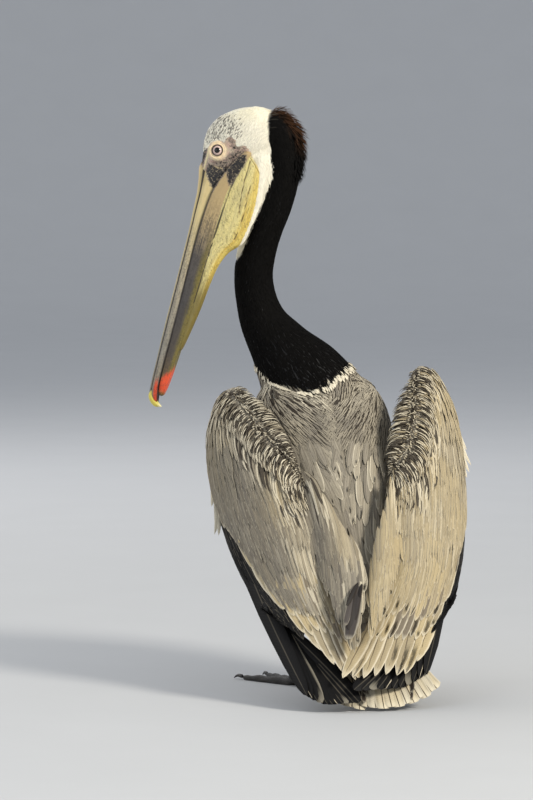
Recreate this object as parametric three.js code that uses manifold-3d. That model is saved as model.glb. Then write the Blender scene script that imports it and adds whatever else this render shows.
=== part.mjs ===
// An adult brown pelican, standing with folded wings, its neck curved and its head turned to its left
// with the bill pointing down. Life size, in millimetres. +Z is up, the breast faces -Y, its left is +X.
import * as THREE from "three";
import { mergeVertices } from "three/addons/utils/BufferGeometryUtils.js";
import Module from "manifold-3d";

const wasm = await Module();
wasm.setup();

// ---- driving dimensions ----
const GAP = 0.3; // clearance that touching bodies keep
const NECK_TURN = 14; // degrees between the plane that the neck bends in and the bird's own lateral plane
const HEAD_AT = [167, -125, 700]; // middle of the skull at the eyes: left, back and up in the neck's plane
const BILL_DROOP = 71; // degrees that the bill points below the horizon
const BILL_YAW = 5; // degrees that the bill points back out of the neck's plane
const HEAD_ROLL = 8; // degrees that the crown leans towards the bird's back
const EYE_RADIUS = 9;
const EYE_OUT = 17.2; // distance of each eyeball's centre from the middle of the skull
const FLOOR_LEVEL = 0; // height of the soles, and the lowest that a feather tip may reach
const WEB_THICKNESS = 2.6;
const CLAW_LENGTH = 13;

const COLOURS = {
  whiteFeather: 0xe9e2cf,
  darkFeather: 0x1d1815,
  silverFeather: 0xb3a894,
  primaryFeather: 0x1c1a19,
  billHorn: 0xb9a26a,
  pouchSkin: 0xd2b14c,
  legSkin: 0x23211f,
  claw: 0x17140f,
  eye: 0xe4d3bd,
};

// ---- small helpers ----
const radians = THREE.MathUtils.degToRad;
const lerp = THREE.MathUtils.lerp;
const vec = (x, y, z) => new THREE.Vector3(x, y, z);
const UP = vec(0, 0, 1);

// Smooth curve through rows of numbers, read at 0 to 1; three numbers of each row at a time.
function curveOf(rows, first = 0) {
  const points = rows.map((row) => vec(row[first], row[first + 1] ?? 0, row[first + 2] ?? 0));
  return new THREE.CatmullRomCurve3(points);
}

// Eased share that packs rows towards both ends of a body.
const eased = (share, pull = 0.7) => share - (pull * Math.sin(2 * Math.PI * share)) / (2 * Math.PI);

// Closed surface of rings between two poles. place(i, row) gives a point; rows 0 and `rows` are the poles.
// With `alike`, the second half of each ring splits its quads as the mirrored half does.
function shell(sides, rows, place, alike = false) {
  const points = [place(0, 0)];
  for (let row = 1; row < rows; row++)
    for (let i = 0; i < sides; i++) points.push(place(i, row));
  points.push(place(0, rows));
  const at = (i, row) => {
    if (row === 0) return 0;
    return row === rows ? points.length - 1 : 1 + (row - 1) * sides + (i % sides);
  };
  const index = [];
  for (let row = 0; row < rows; row++)
    for (let i = 0; i < sides; i++) {
      const [a, b, c, d] = [at(i, row), at(i + 1, row), at(i + 1, row + 1), at(i, row + 1)];
      if (row === 0) index.push(a, c, d);
      else if (row === rows - 1) index.push(a, b, c);
      else if (alike && i >= sides / 2) index.push(a, b, d, b, c, d);
      else index.push(a, b, c, a, c, d);
    }
  return new THREE.BufferGeometry().setFromPoints(points).setIndex(index);
}

// Closed geometry as a solid with its faces pointing out.
function solid(geometry) {
  const plain = geometry.clone();
  plain.deleteAttribute("normal");
  plain.deleteAttribute("uv");
  const merged = mergeVertices(plain, 1e-4);
  const triVerts = new Uint32Array(merged.index.array);
  const build = () =>
    new wasm.Manifold(
      new wasm.Mesh({ numProp: 3, vertProperties: merged.attributes.position.array, triVerts }),
    );
  const made = build();
  if (made.volume() > 0) return made;
  for (let i = 0; i < triVerts.length; i += 3)
    [triVerts[i + 1], triVerts[i + 2]] = [triVerts[i + 2], triVerts[i + 1]];
  return build();
}

const joined = (...solids) => solids.flat().reduce((sum, piece) => sum.add(piece));

// Only the largest closed surface of a solid, so a loose scrap or a sealed hollow goes.
function largest(made) {
  const pieces = made.decompose();
  return pieces.reduce((best, piece) => (piece.volume() > best.volume() ? piece : best));
}

// Mesh node from a solid.
function node(name, made, colour, roughness = 0.75) {
  const { numProp, numVert, vertProperties, triVerts } = largest(made).getMesh();
  const positions = new Float32Array(numVert * 3);
  for (let i = 0; i < numVert; i++)
    positions.set(vertProperties.subarray(i * numProp, i * numProp + 3), i * 3);
  const geometry = new THREE.BufferGeometry()
    .setAttribute("position", new THREE.BufferAttribute(positions, 3))
    .setIndex(new THREE.BufferAttribute(new Uint32Array(triVerts), 1));
  geometry.computeVertexNormals();
  const material = new THREE.MeshStandardMaterial({ color: colour, roughness, metalness: 0 });
  const mesh = new THREE.Mesh(geometry, material);
  mesh.name = name;
  return mesh;
}

// Body swept along stations of [x, y, z, across, back, front]: three semi-axes of each oval section.
// backAt(share) points to the section's back side, and grow thickens the body for cutting its neighbours.
function loft({ stations, backAt, sides, rows, grow = 0, pull = 0.7, cap = 0.08 }) {
  const path = curveOf(stations, 0);
  const size = curveOf(stations, 3);
  return shell(sides, rows, (i, row) => {
    const share = eased(row / rows, pull);
    const centre = path.getPoint(share);
    const along = path.getTangent(share);
    if (row === 0 || row === rows) return centre.addScaledVector(along, row === 0 ? -grow : grow);
    const back = backAt(share).clone().addScaledVector(along, -backAt(share).dot(along)).normalize();
    const across = along.clone().cross(back);
    const end = Math.min(1, Math.min(share, 1 - share) / cap);
    const round = Math.sqrt(1 - (1 - end) ** 2);
    const [a, b, f] = size.getPoint(share).toArray();
    const angle = (2 * Math.PI * (i + 0.5)) / sides;
    const depth = Math.cos(angle) > 0 ? b : f;
    return centre
      .addScaledVector(across, Math.sin(angle) * (a * round + grow))
      .addScaledVector(back, Math.cos(angle) * (depth * round + grow));
  });
}

// Feather vane: a thin tapered blade from root to tip along an arched line, with a ridge down each face.
const VANE_ROWS = [0, 0.1, 0.42, 0.74, 0.92, 1]; // shares of the length at which its rings lie
const VANE_WIDTHS = [0, 0.55, 1, 0.94, 0.6, 0]; // half-width there, as a share of the widest
function vane({
  root,
  tip,
  over, // point half-way along, or left out for a straight line lifted by `arch`
  normal,
  tipNormal = normal,
  width,
  thick = 1.6,
  cup = 0, // how far the edges bend down
  arch = 0,
  twist = 0,
  grow = 0,
}) {
  const mean = normal.clone().add(tipNormal).normalize();
  const middle = over ?? root.clone().lerp(tip, 0.5).addScaledVector(mean, arch / 2);
  const control = middle.clone().multiplyScalar(2).addScaledVector(root, -0.5).addScaledVector(tip, -0.5);
  const line = new THREE.QuadraticBezierCurve3(root, control, tip);
  const last = VANE_ROWS.length - 1;
  return solid(
    shell(
      4,
      last,
      (i, row) => {
        const share = VANE_ROWS[row];
        const centre = line.getPoint(share);
        const along = line.getTangent(share);
        if (row === 0 || row === last) return centre.addScaledVector(along, row ? grow : -grow);
        const face = normal.clone().lerp(tipNormal, share);
        face.addScaledVector(along, -face.dot(along)).normalize().applyAxisAngle(along, radians(twist));
        const side = along.clone().cross(face);
        const half = (width / 2) * VANE_WIDTHS[row] + grow;
        const high = (thick / 2) * (row === last - 1 ? 0.7 : 1) + grow;
        if (i % 2 === 0)
          return centre
            .addScaledVector(side, i === 0 ? half : -half)
            .addScaledVector(face, -cup * VANE_WIDTHS[row] ** 2);
        return centre.addScaledVector(face, i === 1 ? high : -high);
      },
      true,
    ),
  );
}

// Wide level slab between two heights, for cutting bodies across.
const SLAB_SIZE = 2000;
const slab = (low, high) =>
  solid(new THREE.BoxGeometry(SLAB_SIZE, SLAB_SIZE, high - low).translate(0, 0, (low + high) / 2));

// Pair of factors for the bird's left (+1) and right (-1) sides.
const SIDES = { left: 1, right: -1 };

// ---- frames of the neck's plane and of the head ----
const LEFT = vec(Math.cos(radians(NECK_TURN)), -Math.sin(radians(NECK_TURN)), 0);
const BACK = vec(Math.sin(radians(NECK_TURN)), Math.cos(radians(NECK_TURN)), 0);
const inPlane = (left, back, up) =>
  vec(0, 0, up).addScaledVector(LEFT, left).addScaledVector(BACK, back);

const headOrigin = inPlane(...HEAD_AT);
const ahead = LEFT.clone()
  .multiplyScalar(Math.cos(radians(BILL_DROOP)))
  .addScaledVector(UP, -Math.sin(radians(BILL_DROOP)))
  .addScaledVector(BACK, Math.tan(radians(BILL_YAW)))
  .normalize();
const headLeft = BACK.clone()
  .addScaledVector(ahead, -BACK.dot(ahead))
  .normalize()
  .applyAxisAngle(ahead, radians(HEAD_ROLL));
const crown = headLeft.clone().cross(ahead).negate();

// Point in the head's frame: ahead along the bill, up to the crown, and to the bird's left.
const inHead = (forward, high, left) =>
  headOrigin
    .clone()
    .addScaledVector(ahead, forward)
    .addScaledVector(crown, high)
    .addScaledVector(headLeft, left);

// Head body from stations of [forward, top, bottom, half-width] and a section outline of [side, height].
function headLoft({ stations, section, rows, grow = 0, pull = 0.6 }) {
  const spine = curveOf(stations, 0);
  const widths = new THREE.CatmullRomCurve3(stations.map((row) => vec(row[3], 0, 0)));
  const sides = section.length;
  return solid(
    shell(sides, rows, (i, row) => {
      const share = eased(row / rows, pull);
      const { x: forward, y: top, z: bottom } = spine.getPoint(share);
      const middle = (top + bottom) / 2;
      if (row === 0 || row === rows) return inHead(forward + (row ? grow : -grow), middle, 0);
      const [side, high] = section[i];
      const half = widths.getPoint(share).x + grow;
      return inHead(forward, middle + high * ((top - bottom) / 2 + grow), side * half);
    }),
  );
}

// Mirrors the left half of a section outline, listed from top to bottom, to a whole ring.
const mirrored = (half) => [
  ...half,
  ...half
    .slice()
    .reverse()
    .filter(([side]) => side !== 0)
    .map(([side, high]) => [-side, high]),
];

// Oval section outline with the given number of sides; squareness above 1 fills its corners.
function ovalSection(sides, squareness = 1) {
  return Array.from({ length: sides }, (_, i) => {
    const angle = (2 * Math.PI * (i + 0.5)) / sides;
    const [s, c] = [Math.sin(angle), Math.cos(angle)];
    return [Math.sign(s) * Math.abs(s) ** (1 / squareness), Math.sign(c) * Math.abs(c) ** (1 / squareness)];
  });
}

// ---- head, eyes and bill ----
// [forward, top, bottom, half-width]
const SKULL = [
  [-78, -31, -41, 7],
  [-73, -17, -52, 20],
  [-61, -1, -61, 27],
  [-43, 15, -66, 31],
  [-24, 23.5, -65, 30],
  [-6, 24, -55, 26],
  [8, 21.5, -43, 22.5],
  [20, 19.5, -30, 18.5],
  [29, 17, -20, 13],
  [33, 8, -4, 4],
];
const skull = (grow = 0) => headLoft({ stations: SKULL, section: ovalSection(16), rows: 14, grow });

const eyeCentre = (side) => inHead(0, 0, side * EYE_OUT);
function eyeBall(side, grow = 0) {
  const ball = new THREE.SphereGeometry(EYE_RADIUS + grow, 12, 8);
  const centre = eyeCentre(side);
  return solid(ball.translate(centre.x, centre.y, centre.z));
}

// Raised rim of bare skin round an eye: the upper and lower lids.
function lids(side) {
  const ring = new THREE.TorusGeometry(8.1, 2, 5, 14);
  const turn = new THREE.Quaternion().setFromUnitVectors(vec(0, 0, 1), headLeft.clone().multiplyScalar(side));
  ring.applyQuaternion(turn);
  const centre = inHead(0, 0, side * (EYE_OUT + 5.4));
  return solid(ring.translate(centre.x, centre.y, centre.z));
}

// Culmen ridge, nasal groove, flat side plate and cutting edge, from top to underside.
const UPPER_SECTION = mirrored([
  [0, 1],
  [0.3, 0.9],
  [0.42, 0.42],
  [0.8, 0.3],
  [1, -0.25],
  [0.94, -1],
  [0.5, -0.86],
  [0, -0.8],
]);
const UPPER_BILL = [
  [10, 16, -16, 13],
  [26, 19, -19, 17.5],
  [40, 15.3, -14.6, 16.6],
  [60, 10.8, -11.2, 15.3],
  [85, 7.8, -10, 13.8],
  [113, 4.4, -10.4, 12.8],
  [164, 0, -14, 11.9],
  [208, -3.6, -17.6, 12.1],
  [252, -7.4, -20.8, 13.2],
  [290, -11.2, -23.6, 14.2],
  [316, -13.8, -25.8, 13],
  [332, -16.4, -29, 9],
  [340, -22, -31, 5.5],
];
const upperBillBody = (grow = 0) =>
  headLoft({ stations: UPPER_BILL, section: UPPER_SECTION, rows: 20, grow, pull: 0.4 });

// Slit of a nostril, in the groove beside the ridge.
const NOSTRIL = { forward: 44, high: 4.4, out: 7.6, length: 4.5, height: 0.9, depth: 1.8 };
function nostril(side) {
  const slit = new THREE.SphereGeometry(1, 8, 6).scale(NOSTRIL.length, NOSTRIL.height, NOSTRIL.depth);
  const centre = inHead(NOSTRIL.forward, NOSTRIL.high, side * NOSTRIL.out);
  const frame = new THREE.Matrix4().makeBasis(ahead, crown, ahead.clone().cross(crown)).setPosition(centre);
  return solid(slit.applyMatrix4(frame));
}

// Hooked nail at the tip of the upper bill.
function nail(grow = 0) {
  const stations = [
    [inHead(322, -19, 0), 6.5, 3],
    [inHead(334, -21, 0), 7, 4.5],
    [inHead(341, -28, 0), 5.5, 4],
    [inHead(343, -37.5, 0), 2, 1.6],
  ];
  const path = new THREE.CatmullRomCurve3(stations.map(([point]) => point));
  const size = new THREE.CatmullRomCurve3(stations.map(([, wide, deep]) => vec(wide, deep, 0)));
  const rows = 6;
  const sides = 8;
  return solid(
    shell(sides, rows, (i, row) => {
      const share = row / rows;
      const centre = path.getPoint(share);
      const along = path.getTangent(share);
      if (row === 0 || row === rows) return centre.addScaledVector(along, row ? grow : -grow);
      const angle = (2 * Math.PI * (i + 0.5)) / sides;
      const { x: wide, y: deep } = size.getPoint(share);
      return centre
        .addScaledVector(headLeft, Math.cos(angle) * (wide + grow))
        .addScaledVector(along.cross(headLeft), Math.sin(angle) * (deep + grow));
    }),
  );
}

const LOWER_SECTION = mirrored([
  [0, 0.8],
  [0.9, 1],
  [1, 0.45],
  [0.96, -0.4],
  [0.8, -1],
  [0, -0.9],
]);
const LOWER_BILL = [
  [-16, -36, -42, 14],
  [-8, -33, -44, 24],
  [8, -24.5, -41, 23.6],
  [24, -18, -36, 22.6],
  [52, -10.4, -32, 20.4],
  [80, -9, -31.6, 18.3],
  [112, -9.8, -32.2, 16.3],
  [150, -12.4, -33, 14.6],
  [200, -16.4, -34.6, 13.5],
  [245, -20, -36, 13.2],
  [290, -23.4, -36.6, 13.1],
  [316, -26, -36, 10.6],
  [330, -28.4, -34.6, 6],
];
const lowerBillBody = (grow = 0) =>
  headLoft({ stations: LOWER_BILL, section: LOWER_SECTION, rows: 18, grow, pull: 0.4 });

// Folded throat pouch: widest at the jaw and pulled in to a blunt keel below.
const POUCH_SECTION = mirrored([
  [0, 1],
  [0.9, 0.95],
  [1, 0.3],
  [0.9, -0.3],
  [0.62, -0.8],
  [0.22, -1],
]);
const POUCH = [
  [-14, -40, -50, 12],
  [-6, -36, -58, 21],
  [8, -30, -65, 22.5],
  [30, -26, -68, 20.5],
  [58, -24, -69, 18.4],
  [88, -24, -67, 16],
  [110, -25, -63.5, 14.5],
  [123, -26, -54, 13.4],
  [142, -27, -48, 12.6],
  [168, -28, -45.4, 11.8],
  [205, -30, -44.2, 11],
  [240, -32, -41.4, 10],
  [266, -33.5, -38.6, 8],
];
const pouchBody = (grow = 0) =>
  headLoft({ stations: POUCH, section: POUCH_SECTION, rows: 20, grow, pull: 0.3 });

// ---- neck ----
// [left, back, up in the neck's plane, then half-width, back and front semi-axes], from the breast up
const NECK = [
  [8, -136, 318, 56, 50, 50],
  [30, -143, 362, 64, 58, 58],
  [60, -151, 404, 58, 53, 54],
  [87, -157, 441, 42, 41, 41],
  [108, -160, 473, 32.5, 32.5, 32.5],
  [118, -158, 503, 28, 28, 28],
  [122, -154, 535, 26.5, 26.5, 26.5],
  [118, -149, 567, 26.5, 26.5, 26.5],
  [109, -143, 599, 26.5, 26.5, 26.5],
  [95.5, -137, 631, 25.5, 25.5, 25.5],
  [86, -132, 664, 25, 25, 25],
  [82, -128, 697, 25.5, 25, 25],
  [85, -126, 722, 26, 25, 25],
  [96, -125, 738, 24, 20, 24],
  [116, -125, 735, 20, 14, 20],
];
const NECK_STATIONS = NECK.map(([left, back, up, ...sizes]) => [
  ...inPlane(left, back, up).toArray(),
  ...sizes,
]);
// The nape faces the bird's back at the shoulders and turns to its right under the head.
const napeAt = (share) =>
  BACK.clone()
    .lerp(LEFT.clone().negate().addScaledVector(UP, 0.25), THREE.MathUtils.smoothstep(share, 0.1, 0.55))
    .normalize();
const neckBody = (grow = 0) =>
  solid(loft({ stations: NECK_STATIONS, backAt: napeAt, sides: 16, rows: 30, grow, pull: 0.2, cap: 0.05 }));
const NECK_CUTS = [505, 622]; // heights at which the neck is divided

// Short ragged crest down the nape: tapered locks in columns.
const CREST = { columns: 3, rows: 7, from: 0.77, to: 0.965, length: 17, width: 7, spread: 24 };
function crest() {
  const path = curveOf(NECK_STATIONS, 0);
  const locks = [];
  for (let column = 0; column < CREST.columns; column++)
    for (let row = 0; row < CREST.rows; row++) {
      const offset = column - (CREST.columns - 1) / 2;
      const share = lerp(CREST.from, CREST.to, (row + (column % 2) * 0.5) / CREST.rows);
      const along = path.getTangent(share);
      const nape = napeAt(share).addScaledVector(along, -napeAt(share).dot(along)).normalize();
      const out = nape.clone().applyAxisAngle(along, radians(offset * CREST.spread));
      const root = path.getPoint(share).addScaledVector(out, 19);
      const tip = root
        .clone()
        .addScaledVector(out, 8.5 + (row % 2))
        .addScaledVector(along, -CREST.length);
      locks.push(vane({ root, tip, normal: out, width: CREST.width, thick: 2.4, arch: 1.5 }));
    }
  return locks;
}

// ---- torso ----
// [y, z, half-width, back and belly semi-axes] of sections from the shoulders to the tail's root
const TORSO = [
  [-137, 408, 46, 28, 32],
  [-143, 387, 79, 49, 54],
  [-141, 346, 96, 65, 69],
  [-122, 290, 101, 76, 80],
  [-88, 236, 105, 80, 84],
  [-44, 187, 99, 75, 77],
  [6, 149, 85, 61, 60],
  [54, 124, 76, 50, 42],
  [94, 104, 63, 40, 31],
  [126, 86, 42, 27, 19],
];
const BODY_BACK = vec(0, 0.75, 0.66); // direction that the bird's back faces
const TORSO_STATIONS = TORSO.map(([y, z, ...sizes]) => [0, y, z, ...sizes]);
const torsoBody = (grow = 0) =>
  solid(
    loft({
      stations: TORSO_STATIONS,
      backAt: () => BODY_BACK,
      sides: 22,
      rows: 15,
      grow,
      pull: 0.4,
    }),
  );

// ---- wings ----
// [x, y, z, half-breadth, outer and inner half-thickness] of the left wing, from the wrist down the arm
const WING = [
  [130, -112, 394, 9, 8, 8],
  [129, -104, 376, 24, 15, 15],
  [127, -92, 346, 43, 21, 21],
  [121, -72, 306, 55, 26, 24],
  [113, -42, 260, 60, 28, 25],
  [106, -4, 212, 60, 26, 23],
  [100, 36, 170, 53, 20, 18],
  [96, 72, 134, 40, 13, 12],
  [92, 101, 107, 25, 7, 7],
];
const WRIST_RAISE = { left: 0, right: 26 }; // how much higher each wrist is held
const WING_BULGE = { left: -5, right: 11 }; // how much further out the middle of each folded arm is held
const WING_TUCK = { left: 0, right: 17 }; // how much nearer the tail each elbow end is held
// Direction that the outer face of each folded wing looks in, as if on the bird's left.
const WING_OUT = { left: vec(0.62, 0.64, 0.45), right: vec(0.46, 0.73, 0.5) };

function wingStations(name) {
  return WING.map(([x, y, z, ...sizes], i) => {
    const share = i / (WING.length - 1);
    const out = x + WING_BULGE[name] * Math.sin(Math.PI * share) - WING_TUCK[name] * share * share;
    return [SIDES[name] * out, y, z + WRIST_RAISE[name] * (1 - share), ...sizes];
  });
}
const wingFace = (name) => WING_OUT[name].clone().multiply(vec(SIDES[name], 1, 1)).normalize();
const wingCore = (name, grow = 0) =>
  solid(
    loft({
      stations: wingStations(name),
      backAt: () => wingFace(name),
      sides: 12,
      rows: 11,
      grow,
      pull: 0.2,
      cap: 0.07,
    }),
  );

// Point on a lofted body's surface: share along it, degrees round from its back side, and height over it.
function onLoft(stations, back, share, degrees, out) {
  const path = curveOf(stations, 0);
  const along = path.getTangent(share);
  const up = back.clone().addScaledVector(along, -back.dot(along)).normalize();
  const across = along.clone().cross(up);
  const [a, b, f] = curveOf(stations, 3).getPoint(share).toArray();
  const [s, c] = [Math.sin(radians(degrees)), Math.cos(radians(degrees))];
  const depth = c > 0 ? b : f;
  const normal = across.clone().multiplyScalar(s / a).addScaledVector(up, c / depth).normalize();
  const point = path
    .getPoint(share)
    .addScaledVector(across, s * a)
    .addScaledVector(up, c * depth)
    .addScaledVector(normal, out);
  return { point, normal };
}

// Row of overlapping feathers. roots(share) and tips(share) give { point, normal } for shares 0 to 1
// across it, and overs(share) a point half-way. Each is twisted so that it lies clear over the next one.
const SHINGLE = 2.4; // distance between the faces of neighbouring feathers in a row
function featherRow({ count, roots, overs, tips, width, cup = 1, thick = 1.2, turn = 1, grow = 0 }) {
  const middles = [0, 1].map((share) => roots(share).point.lerp(tips(share).point, 0.6));
  const spacing = middles[0].distanceTo(middles[1]) / Math.max(1, count - 1);
  const twist = turn * THREE.MathUtils.radToDeg(Math.asin(Math.min(0.5, SHINGLE / spacing)));
  return Array.from({ length: count }, (_, i) => {
    const share = count > 1 ? i / (count - 1) : 0.5;
    const [root, over, tip] = [roots(share), overs(share), tips(share)];
    return vane({
      root: root.point,
      over: over.point,
      tip: tip.point,
      normal: root.normal,
      tipNormal: tip.normal,
      width,
      cup,
      thick,
      twist,
      grow,
    });
  });
}

// Tip line from an inner point through a middle one to an outer one, with normals turning across it.
const BACK_NORMAL = vec(0.05, 0.76, 0.64);
const FLANK_NORMAL = vec(0.7, 0.55, 0.45);
function tipLine(side, inner, middle, outer) {
  const line = new THREE.CatmullRomCurve3([inner, middle, outer].map((p) => vec(...p)));
  const flip = vec(side, 1, 1);
  return (share) => ({
    point: line.getPoint(share),
    normal: BACK_NORMAL.clone().lerp(FLANK_NORMAL, share).multiply(flip).normalize(),
  });
}

// Feather tips of each wing, from the inner to the outer edge of the folded fan.
const SECONDARY_TIPS = {
  left: [
    [40, 194, 38],
    [82, 178, 60],
    [117, 140, 102],
  ],
  right: [
    [30, 196, 44],
    [-32, 190, 48],
    [-88, 138, 104],
  ],
};
const PRIMARY_TIPS = {
  left: [
    [38, 203, 10],
    [68, 203, 13],
    [106, 190, 26],
  ],
  right: [
    [-2, 203, 18],
    [-30, 196, 27],
    [-64, 178, 40],
  ],
};
const TERTIAL_TIPS = {
  left: [
    [6, 72, 204],
    [14, 124, 160],
    [42, 186, 78],
  ],
  right: [
    [-9, 67, 197],
    [-1, 118, 152],
    [24, 182, 70],
  ],
};
// Rows of the wing. along: shares of the arm at the roots, middles and tips; angles: degrees round it of
// the inner and outer feather; lift: heights over its surface; layer: depth of each under the one before.
const MEDIAN_COVERTS = { count: 7, width: 26, along: [0.25, 0.38, 0.5], angles: [-66, 66], lift: [-4, 4, 7] };
const GREATER_COVERTS = { count: 8, width: 25, along: [0.42, 0.58, 0.73], angles: [-62, 70], lift: [-4, 4, 8] };
const SECONDARIES = { count: 9, width: 25, along: [0.6, 0.83], angles: [-56, 74], lift: [-4, 8] };
const PRIMARIES = { count: 6, width: 25, along: [0.9, 0.6], angle: 92, lift: -8, layer: 2.2, arch: 5 };
const TERTIALS = { count: 4, width: 30, along: [0.46, 0.72], angle: -80, lift: -6, arch: 5 };

function wingFeathers(name, grow = 0) {
  const side = SIDES[name];
  const stations = wingStations(name);
  const face = wingFace(name);
  const on = (share, degrees, out) => onLoft(stations, face, share, side * degrees, out);
  const row = ({ count, along, angles, width, lift }, tips) => {
    const level = (i) => (share) => on(along[i], lerp(...angles, share), lift[i]);
    const ends = tips ?? level(2);
    return featherRow({ count, width, roots: level(0), overs: level(1), tips: ends, turn: side, grow });
  };
  const tertialTips = tipLine(side, ...TERTIAL_TIPS[name]);
  const tertialRoots = (share) => on(lerp(...TERTIALS.along, share), TERTIALS.angle, TERTIALS.lift);
  const tertials = featherRow({
    count: TERTIALS.count,
    width: TERTIALS.width,
    roots: tertialRoots,
    overs: (share) => {
      const { point, normal } = tertialTips(share);
      return { point: tertialRoots(share).point.lerp(point, 0.5).addScaledVector(normal, TERTIALS.arch) };
    },
    tips: tertialTips,
    turn: -side,
    grow,
  });
  // Stacked under the secondaries, each outer one below its inner neighbour.
  const primaryTips = tipLine(side, ...PRIMARY_TIPS[name]);
  const primaries = Array.from({ length: PRIMARIES.count }, (_, i) => {
    const share = i / (PRIMARIES.count - 1);
    const root = on(lerp(...PRIMARIES.along, share), PRIMARIES.angle, PRIMARIES.lift).point;
    const { point: tip, normal } = primaryTips(share);
    const drop = -PRIMARIES.layer * i;
    return vane({
      root: root.addScaledVector(face, drop * 0.4),
      tip: tip.addScaledVector(normal, drop * 0.6),
      normal: face,
      tipNormal: normal,
      width: PRIMARIES.width,
      thick: 1.2,
      arch: PRIMARIES.arch,
      grow,
    });
  });
  return [
    ...row(MEDIAN_COVERTS),
    ...row(GREATER_COVERTS),
    ...row(SECONDARIES, tipLine(side, ...SECONDARY_TIPS[name])),
    ...primaries,
    ...tertials,
  ];
}

// Scapular rows on the back: [share at the roots, at the tips, degrees of the outermost, feathers a side]
const SCAPULARS = [
  [0.27, 0.43, 36, 3],
  [0.37, 0.55, 34, 3],
  [0.47, 0.65, 28, 2],
  [0.57, 0.76, 17, 1],
];
const SCAPULAR_WIDTH = 26;
function scapulars() {
  return SCAPULARS.flatMap(([from, to, reach, count], row) =>
    [1, -1].flatMap((side) =>
      Array.from({ length: count }, (_, i) => {
        const degrees = -side * lerp(0.22 * reach, reach, count > 1 ? i / (count - 1) : 0.5);
        const root = onLoft(TORSO_STATIONS, BODY_BACK, from, degrees * 1.1, -3);
        const over = onLoft(TORSO_STATIONS, BODY_BACK, (from + to) / 2, degrees * 0.95, 3);
        const tip = onLoft(TORSO_STATIONS, BODY_BACK, to, degrees * 0.8, 6 + row);
        return vane({
          root: root.point,
          over: over.point,
          tip: tip.point,
          normal: root.normal,
          tipNormal: tip.normal,
          width: SCAPULAR_WIDTH,
          thick: 1.4,
          twist: side * 6,
        });
      }),
    ),
  );
}

// ---- tail ----
const TAIL_ROOT = vec(0, 112, 112);
const TAIL_DIP = 50; // degrees that the tail points below the horizon
const TAIL_DOWN = vec(0, Math.cos(radians(TAIL_DIP)), -Math.sin(radians(TAIL_DIP)));
const TAIL_LENGTH = 142;
const TAIL_SPREAD = 27; // degrees from the middle to the outermost feather
const TAIL_ROLL = 7; // degrees that the fan is tilted up on the bird's right
const TAIL_FEATHERS = 14;
const TAIL_WIDTH = 17;
const TAIL_LAYER = 1.5; // depth that each feather lies below its inner neighbour

function tailFeathers(grow = 0) {
  const normal = vec(0, -TAIL_DOWN.z, TAIL_DOWN.y);
  const roll = radians(TAIL_ROLL);
  return Array.from({ length: TAIL_FEATHERS }, (_, i) => {
    const offset = (2 * i) / (TAIL_FEATHERS - 1) - 1;
    const lie = TAIL_DOWN.clone().applyAxisAngle(normal, radians(offset * TAIL_SPREAD));
    const layer = -TAIL_LAYER * Math.abs(i - (TAIL_FEATHERS - 1) / 2);
    const length = TAIL_LENGTH * (1 - 0.1 * offset * offset);
    const root = TAIL_ROOT.clone().addScaledVector(normal, layer * 0.4).add(vec(-offset * 7, 0, 0));
    const tip = root.clone().addScaledVector(lie, length).addScaledVector(normal, layer * 0.6);
    const turned = tip.sub(TAIL_ROOT).applyAxisAngle(TAIL_DOWN, roll).add(TAIL_ROOT);
    const face = normal.clone().applyAxisAngle(TAIL_DOWN, roll * 0.8 + radians(offset * 10));
    return vane({ root, tip: turned, normal: face, width: TAIL_WIDTH, thick: 1.1, arch: -3, grow });
  });
}
// Rounded body that the tail feathers grow from.
const RUMP = [
  [0, 102, 112, 26, 16, 12],
  [0, 120, 98, 42, 22, 14],
  [0, 144, 74, 44, 18, 11],
  [0, 164, 53, 34, 9, 7],
];
const tailRump = (grow = 0) =>
  solid(loft({ stations: RUMP, backAt: () => BODY_BACK, sides: 12, rows: 8, grow }));

// Row of coverts over the roots of the tail feathers.
const TAIL_COVERTS = { count: 6, width: 22, along: [0.5, 0.8, 0.97], reach: 56, lift: [-3, 3, 4], beyond: 24 };
function tailCoverts(grow = 0) {
  const { count, width, along, reach, lift, beyond } = TAIL_COVERTS;
  const level = (i) => (share) => onLoft(RUMP, BODY_BACK, along[i], lerp(-reach, reach, share), lift[i]);
  const tips = (share) => {
    const { point, normal } = level(2)(share);
    return { point: point.addScaledVector(TAIL_DOWN, beyond), normal };
  };
  return featherRow({ count, width, roots: level(0), overs: level(1), tips, grow });
}

// ---- legs and feet ----
const LEG = {
  hip: [44, -62, 128],
  heel: [49, -58, 74],
  ankle: [53, -66, 11],
};
const FOOT_TURN = { left: 9, right: 9 }; // degrees that each foot points outwards
// [degrees from the middle toe, length] of the inner, middle, outer and hind toes
const TOES = [
  [-30, 72],
  [0, 96],
  [26, 94],
  [-72, 35],
];

function thigh(side, grow = 0) {
  const [hx, hy, hz] = LEG.hip;
  const [kx, ky, kz] = LEG.heel;
  const stations = [
    [side * hx, hy, hz + 22, 26, 26, 26],
    [side * hx, hy, hz, 27, 27, 27],
    [side * lerp(hx, kx, 0.6), lerp(hy, ky, 0.6), lerp(hz, kz, 0.6), 16, 16, 16],
    [side * kx, ky, kz + 4, 9.5, 9.5, 9.5],
    [side * kx, ky, kz - 5, 8, 8, 8],
  ];
  return solid(loft({ stations, backAt: () => vec(0, 1, 0), sides: 10, rows: 8, grow, cap: 0.12 }));
}

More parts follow.
